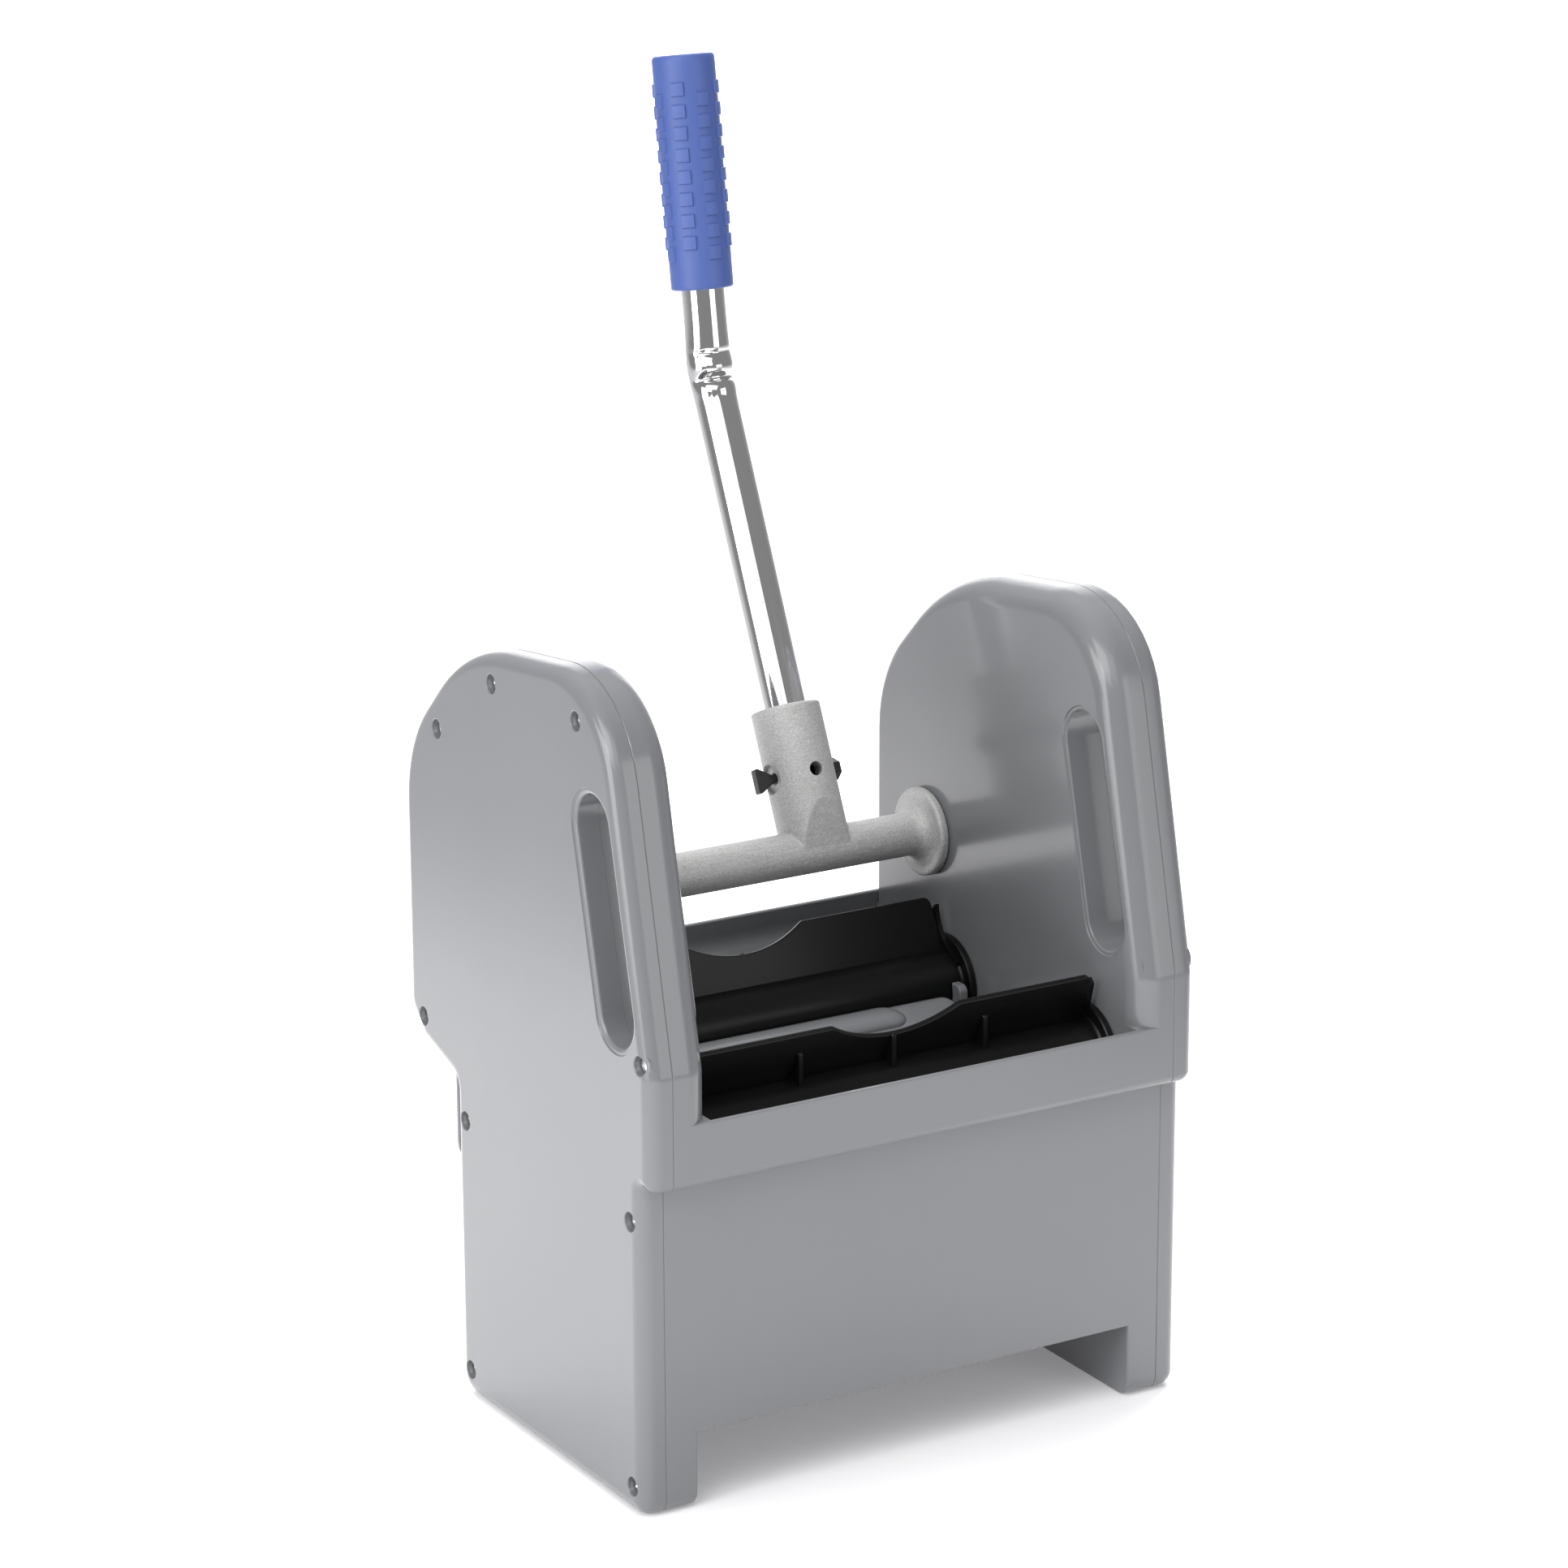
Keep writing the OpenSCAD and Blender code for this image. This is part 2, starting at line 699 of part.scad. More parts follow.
// Round wire of 8 sides along a path of points.
module wire(path) {
    n = len(path);
    sides = 8;
    pts = [for (i = [0:n - 1])
        let (t = path[min(i + 1, n - 1)] - path[max(i - 1, 0)], w = t / norm(t),
            u0 = cross(w, [1, 0, 0]), u = u0 / norm(u0), v = cross(w, u))
        for (k = [0:sides - 1]) path[i]
            + spring_wire * (cos(k * 360 / sides) * u + sin(k * 360 / sides) * v)];
    quads = [for (i = [0:n - 2], k = [0:sides - 1])
        let (a = i * sides + k, b = i * sides + (k + 1) % sides) [a, b, b + sides, a + sides]];
    polyhedron(pts, concat([[for (k = [sides - 1:-1:0]) k]], quads,
        [[for (k = [0:sides - 1]) (n - 1) * sides + k]]));
}

module return_spring(s) {
    coil = [for (a = [spring_start:-18:spring_end]) spring_point(a)];
    color("slategray") on_side(s) at_axis(lever_axis) wire(concat([leg_a], coil, [leg_b]));
}

main_body();
cover(-1);  // left_cover
cover(1);  // right_cover
cover_screws(-1);  // left_cover_screws
cover_screws(1);  // right_cover_screws
lever_casting();
lever_tube();
lever_grip();
wing_screw();
wing_screw_nut();
rear_press_plate();
front_press_plate();
drive_gear(-1);  // left_drive_gear
drive_gear(1);  // right_drive_gear
rear_gear(-1);  // left_rear_gear
rear_gear(1);  // right_rear_gear
front_gear(-1);  // left_front_gear
front_gear(1);  // right_front_gear
bush(lever_axis, -1);  // left_lever_bush
bush(lever_axis, 1);  // right_lever_bush
bush(rear_axis, -1);  // left_rear_bush
bush(rear_axis, 1);  // right_rear_bush
bush(front_axis, -1);  // left_front_bush
bush(front_axis, 1);  // right_front_bush
gear_bolt(lever_axis, -1);  // left_lever_bolt
gear_bolt(lever_axis, 1);  // right_lever_bolt
gear_bolt(rear_axis, -1);  // left_rear_bolt
gear_bolt(rear_axis, 1);  // right_rear_bolt
gear_bolt(front_axis, -1);  // left_front_bolt
gear_bolt(front_axis, 1);  // right_front_bolt
washer(lever_axis, -1);  // left_lever_washer
washer(lever_axis, 1);  // right_lever_washer
washer(rear_axis, -1);  // left_rear_washer
washer(rear_axis, 1);  // right_rear_washer
washer(front_axis, -1);  // left_front_washer
washer(front_axis, 1);  // right_front_washer
return_spring(-1);  // left_return_spring
return_spring(1);  // right_return_spring
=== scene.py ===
"""Looks of the down-press mop wringer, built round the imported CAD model.

Lengths are in millimetres in this script and become metres when a mesh is made. An outline is a
list of corners (y, z, radius) in the side view, and a solid is lofted from such outlines along X.
"""

import json
import math

import bmesh
import bpy
from mathutils import Matrix, Vector


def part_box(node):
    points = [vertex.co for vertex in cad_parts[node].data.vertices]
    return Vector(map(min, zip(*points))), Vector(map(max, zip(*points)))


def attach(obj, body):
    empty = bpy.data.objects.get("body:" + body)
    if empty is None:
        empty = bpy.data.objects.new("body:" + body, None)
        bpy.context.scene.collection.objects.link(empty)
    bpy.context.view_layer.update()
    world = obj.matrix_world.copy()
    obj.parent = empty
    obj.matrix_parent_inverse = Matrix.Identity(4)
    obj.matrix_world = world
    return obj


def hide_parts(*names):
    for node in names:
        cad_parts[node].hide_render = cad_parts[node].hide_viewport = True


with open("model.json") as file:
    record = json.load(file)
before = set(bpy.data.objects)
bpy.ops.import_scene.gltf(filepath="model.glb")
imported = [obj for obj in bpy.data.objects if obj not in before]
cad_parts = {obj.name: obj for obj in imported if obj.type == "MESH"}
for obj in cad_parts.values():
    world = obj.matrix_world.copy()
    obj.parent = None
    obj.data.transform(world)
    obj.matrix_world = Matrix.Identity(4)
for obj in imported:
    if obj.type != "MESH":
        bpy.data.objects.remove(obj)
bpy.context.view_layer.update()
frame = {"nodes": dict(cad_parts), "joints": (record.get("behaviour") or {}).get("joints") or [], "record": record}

MM = 0.001


def node_box(node):
    """Lowest and highest corner of a CAD node, in millimetres."""
    low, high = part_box(node)
    return low / MM, high / MM


def joint_axis(name):
    """Place of a joint's axis as (y, z), in millimetres."""
    joint = next(j for j in frame["joints"] if j["name"] == name)
    return Vector(joint["pos_m"][1:]) / MM


# ---------- dimensions, from the frame ----------

COVER_LO, COVER_HI = node_box("right_cover")
HALF_W = COVER_HI.x
SEAM = COVER_LO.x
JOURNAL = node_box("lever_casting")[1].x
PANEL = JOURNAL + 0.3
FOOT = PANEL + 3.5
WALL = 3.0
LIP = 0.35
SLOT_WALL = 2.5
BAND_Y = COVER_LO.y
REAR_Y = COVER_HI.y
LEVER = joint_axis("lever_press")
REAR = joint_axis("rear_plate_close")
FRONT = joint_axis("front_plate_close")
MID_Y = (REAR.x + FRONT.x) / 2

APRON_Y = BAND_Y + 10
LOWER_REAR_Y = 26.0
BAND_Z, BAND_TOP = 161.5, 192.5
REAR_TOP = 199.5
APRON_Z = 37.5
PAN_TOP = 151.5
COVER_R = 7.6
PANEL_R = 13.0
REAR_R = 6.5
ARCH = [(-125.2, 395, 55), (9.7, 380.2, 118), (REAR_Y, 319.4, 70)]
REAR_SHOULDER = [(REAR_Y, 185.5, 14), (59, 171.1, 6), (LOWER_REAR_Y, 160.5, 6)]
OUTLINE = [(APRON_Y, 0, 8), (APRON_Y, BAND_Z, 1), (BAND_Y, BAND_Z, 5), (BAND_Y, 216.5, 14),
           *ARCH, *REAR_SHOULDER, (LOWER_REAR_Y, 0, 12)]
SCREWS = [(-20.3, 368), (36.3, 333), (-101.3, 369.4), (57, 183.5), (-156, 222.1),
          (15.4, 142.5), (-145.5, 144.2), (15.4, 13.5), (-145, 13.5)]
SCREW_RECESS = 5.0
SCREW_RECESS_R = 4.5
SLOT_AT = Vector((-124.5, 281.3))
SLOT_W, SLOT_L, SLOT_TILT = 30.0, 116.0, math.radians(13.6)


# ---------- outlines ----------

def corner_arc(p, c, q, r, steps):
    """Arc that rounds corner c between neighbours p and q."""
    u, v = (p - c).normalized(), (q - c).normalized()
    half = u.angle(v) / 2
    start, end = c + u * (r / math.tan(half)), c + v * (r / math.tan(half))
    centre = c + (u + v).normalized() * (r / math.sin(half))
    a = (start - centre).normalized()
    turn = a.angle_signed((end - centre).normalized())
    out = []
    for i in range(steps + 1):
        w = -turn * i / steps
        out.append(centre + r * Vector((a.x * math.cos(w) - a.y * math.sin(w),
                                        a.x * math.sin(w) + a.y * math.cos(w))))
    return out


def area(points):
    """Signed area of an outline, positive where it runs anticlockwise."""
    return sum(p.x * q.y - q.x * p.y for p, q in zip(points, points[1:] + points[:1])) / 2


def meet(a, d, b, e):
    """Point where the line through a along d crosses the line through b along e."""
    return a + d * (((b.x - a.x) * e.y - (b.y - a.y) * e.x) / (d.x * e.y - d.y * e.x))


def ring(corners, inset=0.0, steps=10):
    """Closed outline with rounded corners and its edges moved in. inset is one number, or one
    for each edge, where edge i runs from corner i to the next."""
    n = len(corners)
    insets = list(inset) if hasattr(inset, "__len__") else [inset] * n
    points = [Vector(c[:2]) for c in corners]
    side = 1 if area(points) > 0 else -1
    lines = []
    for i in range(n):
        d = (points[(i + 1) % n] - points[i]).normalized()
        lines.append((points[i] + Vector((-d.y, d.x)) * side * insets[i], d))
    moved = [meet(*lines[i - 1], *lines[i]) for i in range(n)]
    out = []
    for i in range(n):
        r = corners[i][2]
        if r == 0:
            out.append(moved[i])
            continue
        d, e = lines[i - 1][1], lines[i][1]
        convex = (d.x * e.y - d.y * e.x) * side > 0
        step = max(insets[i - 1], insets[i])
        r = max(r - step if convex else r + min(insets[i - 1], insets[i]), 0.3)
        out += corner_arc(moved[i - 1], moved[i], moved[(i + 1) % n], r, steps)
    return out


def circle(centre, r, steps=48):
    """Outline of a circle."""
    return [Vector((centre[0] + r * math.cos(2 * math.pi * i / steps),
                    centre[1] + r * math.sin(2 * math.pi * i / steps))) for i in range(steps)]


def hand_slot(grow=0.0, steps=24):
    """Outline of the hand slot."""
    r = SLOT_W / 2 + grow
    out = []
    for sign in (1, -1):
        for i in range(steps + 1):
            a = math.pi * i / steps
            out.append((sign * r * math.cos(a), sign * (r * math.sin(a) + (SLOT_L - SLOT_W) / 2)))
    c, s = math.cos(-SLOT_TILT), math.sin(-SLOT_TILT)
    return [SLOT_AT + Vector((x * c - y * s, x * s + y * c)) for x, y in out]


def wall_profile(path, thickness, round_r):
    """Closed corners of a wall of that thickness along an open path of corners."""
    inner = []
    points = [Vector(p[:2]) for p in path]
    normals = []
    for a, b in zip(points, points[1:]):
        d = (b - a).normalized()
        normals.append((d, Vector((-d.y, d.x))))
    for i, p in enumerate(points):
        turn = 0
        if i == 0:
            q = p + normals[0][1] * thickness
        elif i == len(points) - 1:
            q = p + normals[-1][1] * thickness
        else:
            (d, n), (e, m) = normals[i - 1], normals[i]
            q = meet(p + n * thickness, d, p + m * thickness, e)
            turn = d.x * e.y - d.y * e.x
        r = path[i][2] - thickness if turn > 0 else path[i][2] + thickness
        inner.append((q.x, q.y, max(r, 0.8)))
    outer = list(path)
    for line in (outer, inner):
        for end in (0, -1):
            line[end] = (*line[end][:2], round_r)
    return outer + inner[::-1]


def quarter(r, depth, steps=7):
    """Stations (depth, inset) of a rounded edge, from the face to the side."""
    out = []
    for i in range(steps + 1):
        a = math.pi / 2 * i / steps
        out.append((depth * (1 - math.cos(a)), r * (1 - math.sin(a))))
    return out


def both_edges(low, high, edge, steps=3):
    """Stations (place, inset) from low to high, with a rounded edge at each end."""
    rim = quarter(edge, edge, steps)
    return [(low + d, g) for d, g in rim] + [(high - d, g) for d, g in reversed(rim)]


# ---------- meshes ----------

def make_object(name, bm):
    """Object in the scene with the mesh of bm, which is used up."""
    mesh = bpy.data.meshes.new(name)
    bmesh.ops.recalc_face_normals(bm, faces=bm.faces)
    bm.to_mesh(mesh)
    bm.free()
    obj = bpy.data.objects.new(name, mesh)
    bpy.context.scene.collection.objects.link(obj)
    return obj


def loft(name, rings):
    """Closed solid through rings of 3D points, all with the same count."""
    bm = bmesh.new()
    rows = [[bm.verts.new(Vector(p) * MM) for p in points] for points in rings]
    n = len(rows[0])
    for a, b in zip(rows, rows[1:]):
        for i in range(n):
            bm.faces.new((a[i], a[(i + 1) % n], b[(i + 1) % n], b[i]))
    bm.faces.new(rows[0])
    bm.faces.new(rows[-1])
    return make_object(name, bm)


def along_x(name, stations, side=1):
    """Loft of side-view outlines: stations are (x, points)."""
    return loft(name, [[(side * x, p[0], p[1]) for p in points] for x, points in stations])


def block(name, low, high, edge=0.0):
    """Box between two corners, with its edges rounded."""
    bm = bmesh.new()
    bmesh.ops.create_cube(bm, size=1)
    for v in bm.verts:
        v.co = Vector([MM * (l if c < 0 else h) for c, l, h in zip(v.co, low, high)])
    if edge:
        bmesh.ops.bevel(bm, geom=bm.edges[:], offset=edge * MM, segments=3, profile=0.5,
                        affect="EDGES")
    return make_object(name, bm)


def lathe(name, profile, place=Matrix(), steps=64):
    """Solid turned round Z from a profile of (radius, z); place puts it in the frame."""
    rings = []
    for r, z in profile:
        rings.append([place @ Vector((r * math.cos(2 * math.pi * i / steps),
                                      r * math.sin(2 * math.pi * i / steps), z))
                      for i in range(steps)])
    return loft(name, rings)


def rod_x(name, x0, x1, centre, r, steps=48):
    """Round rod along X."""
    return along_x(name, [(x0, circle(centre, r, steps)), (x1, circle(centre, r, steps))])


def apply_modifiers(obj):
    """Replaces an object's mesh by what its modifiers make of it."""
    bpy.context.view_layer.update()
    graph = bpy.context.evaluated_depsgraph_get()
    mesh = bpy.data.meshes.new_from_object(obj.evaluated_get(graph))
    obj.modifiers.clear()
    obj.data = mesh
    return obj


def combine(target, tools, how):
    """Boolean of target with each tool in turn; the tools are used up."""
    for tool in tools:
        modifier = target.modifiers.new("combine", "BOOLEAN")
        modifier.operation = how
        modifier.solver = "EXACT"
        modifier.object = tool
    apply_modifiers(target)
    for tool in tools:
        bpy.data.objects.remove(tool)
    return target


def merge(objs, name):
    """One object from several separate ones."""
    bm = bmesh.new()
    for obj in objs:
        bm.from_mesh(obj.data)
        bpy.data.objects.remove(obj)
    return make_object(name, bm)


def tidy(obj, distance=0.01):
    """Joins points that lie on each other and drops faces with no area."""
    bm = bmesh.new()
    bm.from_mesh(obj.data)
    bmesh.ops.remove_doubles(bm, verts=bm.verts, dist=distance * MM)
    bmesh.ops.dissolve_degenerate(bm, edges=bm.edges, dist=distance * MM)
    bm.to_mesh(obj.data)
    bm.free()
    return obj


def dress(obj, material, body, replaces=(), angle=32):
    """Smooth shading, material, body and the CAD nodes that the piece stands for."""
    obj.data.shade_smooth()
    obj.data.set_sharp_from_angle(angle=math.radians(angle))
    normals = obj.modifiers.new("normals", "WEIGHTED_NORMAL")
    normals.keep_sharp = True
    obj.data.materials.clear()
    obj.data.materials.append(material)
    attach(obj, body)
    if replaces:
        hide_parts(*replaces)
    return obj


# ---------- materials ----------

class Nodes:
    """A material's node tree, with one call for each node and its links."""

    def __init__(self, name):
        self.material = bpy.data.materials.new(name)
        self.material.use_nodes = True
        self.tree = self.material.node_tree
        self.tree.nodes.clear()
        self.shader = self.add("ShaderNodeBsdfPrincipled")
        output = self.add("ShaderNodeOutputMaterial")
        self.tree.links.new(self.shader.outputs[0], output.inputs[0])
        self.place = self.add("ShaderNodeTexCoord").outputs["Object"]

    def add(self, kind, inputs=(), **settings):
        node = self.tree.nodes.new(kind)
        for key, value in settings.items():
            setattr(node, key, value)
        for key, value in dict(inputs).items():
            if isinstance(value, bpy.types.NodeSocket):
                self.tree.links.new(value, node.inputs[key])
            else:
                node.inputs[key].default_value = value
        return node

    def set(self, **values):
        for key, value in values.items():
            socket = self.shader.inputs[key.replace("_", " ")]
            if isinstance(value, bpy.types.NodeSocket):
                self.tree.links.new(value, socket)
            else:
                socket.default_value = value

    def stretch(self, x, y, z):
        return self.add("ShaderNodeMapping", {"Vector": self.place, "Scale": (x, y, z)}).outputs[0]

    def noise(self, scale, detail=3.0, rough=0.5, vector=None):
        node = self.add("ShaderNodeTexNoise", {"Vector": vector or self.place, "Scale": scale,
                                               "Detail": detail, "Roughness": rough})
        return node.outputs["Fac"]

    def spread(self, value, low, high, to_low=0.0, to_high=1.0):
        return self.add("ShaderNodeMapRange", {
            "Value": value, "From Min": low, "From Max": high, "To Min": to_low,
            "To Max": to_high}).outputs[0]

    def blend(self, factor, a, b):
        node = self.add("ShaderNodeMix", data_type="RGBA")
        for socket, value in ((node.inputs[0], factor), (node.inputs[6], a), (node.inputs[7], b)):
            if isinstance(value, bpy.types.NodeSocket):
                self.tree.links.new(value, socket)
            else:
                socket.default_value = value
        return node.outputs[2]

    def math(self, how, a, b):
        node = self.add("ShaderNodeMath", operation=how)
        for i, value in enumerate((a, b)):
            if isinstance(value, bpy.types.NodeSocket):
                self.tree.links.new(value, node.inputs[i])
            else:
                node.inputs[i].default_value = value
        return node.outputs[0]

    def bump(self, height, strength, distance, normal=None):
        inputs = {"Height": height, "Strength": strength, "Distance": distance}
        if normal is not None:
            inputs["Normal"] = normal
        return self.add("ShaderNodeBump", inputs).outputs[0]


def grey(value, tint=(1.0, 1.0, 1.0)):
    """A grey, tinted, as a colour with alpha."""
    return (*(value * t for t in tint), 1.0)


def moulded_plastic(name, tone, tint, roughness, variation=0.05, streaks=0.03, coat=0.0,
                    shine=0.5):
    """Injection-moulded plastic: faint clouds, flow streaks, orange peel and fine scuffs."""
    m = Nodes(name)
    clouds = m.spread(m.noise(9, 4), 0.3, 0.7)
    flow = m.spread(m.noise(30, 5, 0.6, m.stretch(1, 1, 0.08)), 0.35, 0.75)
    base = m.blend(clouds, grey(tone * (1 - variation), tint), grey(tone * (1 + variation), tint))
    base = m.blend(m.spread(flow, 0, 1, 0, streaks * 4), base, grey(min(tone * 1.25, 1), tint))
    m.set(Base_Color=base, Coat_Weight=coat, Coat_Roughness=0.1, Specular_IOR_Level=shine)
    scuffs = m.spread(m.noise(260, 2, 0.5, m.stretch(1, 1, 0.2)), 0.64, 0.8)
    rough = m.spread(m.noise(12, 3), 0.3, 0.7, roughness - 0.02, roughness + 0.03)
    m.set(Roughness=m.math("ADD", rough, m.math("MULTIPLY", scuffs, 0.03)))
    peel = m.bump(m.noise(700, 2), 0.06, 0.0003)
    waves = m.bump(m.noise(14, 1, 0.3), 0.02, 0.001, peel)
    m.set(Normal=waves)
    return m.material


def cast_aluminium(name):
    """Sand-cast and blasted aluminium: matte grain, fine turned lines, pits and bright specks."""
    m = Nodes(name)
    grain = m.noise(1300, 2, 0.5)
    lumps = m.noise(300, 3, 0.5)
    lines = m.noise(1500, 2, 0.5, m.stretch(0.06, 0.5, 1))
    pits = m.spread(m.noise(520, 2, 0.4), 0.68, 0.74)
    specks = m.spread(m.noise(700, 1, 0.4), 0.7, 0.75)
    stain = m.spread(m.noise(60, 5, 0.7), 0.6, 0.78, 0, 0.4)
    base = m.blend(m.spread(grain, 0.3, 0.7), (0.46, 0.46, 0.455, 1), (0.68, 0.68, 0.675, 1))
    base = m.blend(m.spread(lines, 0.4, 0.7, 0, 0.3), base, (0.40, 0.40, 0.395, 1))
    base = m.blend(m.math("MULTIPLY", pits, 0.35), base, (0.25, 0.25, 0.25, 1))
    base = m.blend(stain, base, (0.36, 0.36, 0.35, 1))
    base = m.blend(m.math("MULTIPLY", specks, 0.5), base, (0.8, 0.8, 0.8, 1))
    m.set(Base_Color=base, Metallic=0.45, Roughness=m.spread(grain, 0.3, 0.7, 0.55, 0.68))
    coarse = m.bump(lumps, 0.6, 0.0006)
    fine = m.bump(m.math("ADD", grain, lines), 0.5, 0.0003, coarse)
    m.set(Normal=m.bump(m.math("SUBTRACT", 1.0, pits), 0.3, 0.0003, fine))
    return m.material


def chrome(name):
    """Polished chrome plate with a trace of haze, fine lines and specks."""
    m = Nodes(name)
    haze = m.spread(m.noise(60, 4), 0.45, 0.8, 0.07, 0.11)
    specks = m.spread(m.noise(700, 2), 0.7, 0.76)
    lines = m.noise(1400, 2, 0.5, m.stretch(1, 1, 0.03))
    base = m.blend(specks, (0.82, 0.82, 0.825, 1), (0.5, 0.5, 0.5, 1))
    m.set(Base_Color=base, Metallic=1.0, Roughness=m.math("ADD", haze, m.math("MULTIPLY", specks, 0.2)))
    m.set(Normal=m.bump(lines, 0.02, 0.0002))
    return m.material


def turned_steel(name, tone=0.6, roughness=0.28):
    """Zinc-plated steel with fine turning lines and dull spots."""
    m = Nodes(name)
    lines = m.noise(900, 3, 0.6, m.stretch(6, 1, 1))
    spots = m.spread(m.noise(300, 3), 0.5, 0.75)
    base = m.blend(spots, grey(tone, (1, 1, 1.01)), grey(tone * 0.75, (1.02, 1, 0.96)))
    m.set(Base_Color=base, Metallic=1.0)
    m.set(Roughness=m.spread(spots, 0, 1, roughness, roughness + 0.18))
    m.set(Normal=m.bump(lines, 0.08, 0.0002))
    return m.material


MATERIALS = {
    "housing": moulded_plastic("grey_housing", 0.18, (0.975, 1.0, 1.045), 0.22, 0.015, 0.012, 0.35),
    "plates": moulded_plastic("black_plate", 0.004, (1.0, 1.0, 1.03), 0.34, 0.15, 0.02, 0.0, 0.32),
    "grip": moulded_plastic("blue_grip", 1.0, (0.066, 0.112, 0.345), 0.45, 0.05, 0.01),
    "black_hardware": moulded_plastic("black_screw", 0.018, (1, 1, 1), 0.33, 0.1, 0.0),
    "casting": cast_aluminium("cast_aluminium"),
    "tube": chrome("chrome_tube"),
    "screws": turned_steel("zinc_screw", 0.9, 0.34),
    "fasteners": turned_steel("zinc_bolt", 0.6, 0.3),
    "springs": turned_steel("spring_wire", 0.42, 0.3),
    "gears": moulded_plastic("white_nylon", 0.72, (1.0, 0.985, 0.93), 0.45, 0.04, 0.02),
    "bushes": moulded_plastic("ivory_acetal", 0.74, (1.0, 0.96, 0.86), 0.4, 0.04, 0.02),
}
SLOT_OF = {p["node"]: p["material_slot"] for p in frame["record"]["subparts"]}


# ---------- housings ----------

def slot_cutter(face_x, back_x, mouth, side, past=2.0):
    """Cutter for the hand slot: a shallow step round it at face_x, then a rounded mouth."""
    inward = 1 if back_x > face_x else -1
    step, rim = 0.7, mouth + 0.3
    stations = [(face_x - inward * past, hand_slot(rim)), (face_x, hand_slot(rim)),
                (face_x + inward * step, hand_slot(rim - 0.4)),
                (face_x + inward * step, hand_slot(rim - 1.2))]
    stations += [(face_x + inward * (step * (1 - d / mouth) + d), hand_slot(g))
                 for d, g in quarter(mouth - 1, mouth - 1)]
    stations.append((back_x + inward * past, hand_slot()))
    return along_x("cutter", stations, side)


def recess_cutter(at, side):
    """Cutter for one screw recess in a cover, with a softened rim."""
    rim = 0.7
    stations = [(HALF_W + 1, circle(at, SCREW_RECESS_R + rim))]
    stations += [(HALF_W - d, circle(at, SCREW_RECESS_R + g)) for d, g in quarter(rim, rim, 3)]
    stations.append((HALF_W - SCREW_RECESS, circle(at, SCREW_RECESS_R)))
    return along_x("cutter", stations, side)


def cover(side, name):
    """Outer half of a housing: rounded outer edge, thin lip at the seam, hollow inside."""
    post_r, bore_r, face_wall = 6.6, 2.25, 2.5
    stations = [(HALF_W - d, ring(OUTLINE, g)) for d, g in quarter(COVER_R, COVER_R, 9)]
    stations += [(SEAM + LIP, ring(OUTLINE)), (SEAM, ring(OUTLINE, LIP))]
    stations += [(SEAM, ring(OUTLINE, WALL)), (HALF_W - COVER_R, ring(OUTLINE, WALL)),
                 (HALF_W - face_wall, ring(OUTLINE, WALL + 4.5))]
    shell = along_x(name, stations, side)
    tube = along_x("tube", [(x, hand_slot(SLOT_WALL)) for x in (SEAM, HALF_W - 1.5)], side)
    posts = [along_x("post", [(x, circle(p, post_r)) for x in (SEAM, HALF_W - 2)], side)
             for p in SCREWS]
    combine(shell, [tube, merge(posts, "posts")], "UNION")
    recesses = merge([recess_cutter(p, side) for p in SCREWS], "recesses")
    bores = merge([along_x("bore", [(x, circle(p, bore_r, 24)) for x in (SEAM - 1, HALF_W)], side)
                   for p in SCREWS], "bores")
    cutters = [slot_cutter(HALF_W, SEAM, 3.0, side), recesses, bores]
    return tidy(combine(shell, cutters, "DIFFERENCE"))


def arch(side):
    """Upper part of a side panel, with a wide rounded edge towards the middle."""
    z0 = BAND_TOP - 2.5
    corners = [(BAND_Y, z0, 0), (BAND_Y, 216.5, 14), *ARCH, (REAR_Y, z0, 0)]
    share = [1, 1, 1, 0.75, REAR_R / PANEL_R, 0]

    def at(inset):
        return ring(corners, [inset * s for s in share], 14)

    stations = [(PANEL + d, at(g)) for d, g in quarter(PANEL_R, PANEL_R, 12)]
    stations += [(SEAM - LIP, at(0)), (SEAM, at(LIP))]
    outer = along_x("arch", stations, side)
    hollow = along_x("hollow", [(PANEL + WALL, at(PANEL_R)), (PANEL + PANEL_R - 2, at(WALL + 1)),
                                (SEAM + 1, at(WALL))], side)
    return outer, hollow


def side_blocks(side):
    """Shoulder and foot of a side panel, below the arch."""
    shoulder = [(APRON_Y, 148, 0), (APRON_Y, BAND_Z, 1), (BAND_Y, BAND_Z, 5), (BAND_Y, BAND_TOP, 0.8),
                (REAR_Y, BAND_TOP, 0), *REAR_SHOULDER, (LOWER_REAR_Y, 148, 0)]
    foot = [(APRON_Y, 0, 8), (APRON_Y, 150, 0), (LOWER_REAR_Y, 150, 0), (LOWER_REAR_Y, 0, 12)]
    solids, hollows = [], []
    for corners, x0, edge in ((shoulder, PANEL, 0.0), (foot, FOOT, 1.2)):
        rim = quarter(edge, edge, 3) if edge else [(0, 0)]
        stations = [(x0 + d, ring(corners, g)) for d, g in rim]
        stations += [(SEAM - LIP, ring(corners)), (SEAM, ring(corners, LIP))]
        solids.append(along_x("side", stations, side))
    inner = [(APRON_Y + WALL, WALL, 5), (APRON_Y + WALL, BAND_Z + WALL, 1),
             (BAND_Y + WALL, BAND_Z + WALL, 2), (BAND_Y + WALL, BAND_TOP + 2, 0),
             (REAR_Y - WALL, BAND_TOP + 2, 0), (REAR_Y - WALL, 186.7, 11), (57.7, 174, 6),
             (LOWER_REAR_Y - WALL, 163, 6), (LOWER_REAR_Y - WALL, WALL, 9)]
    hollows.append(along_x("hollow", [(FOOT + WALL, ring(inner)), (SEAM + 1, ring(inner))], side))
    return solids, hollows


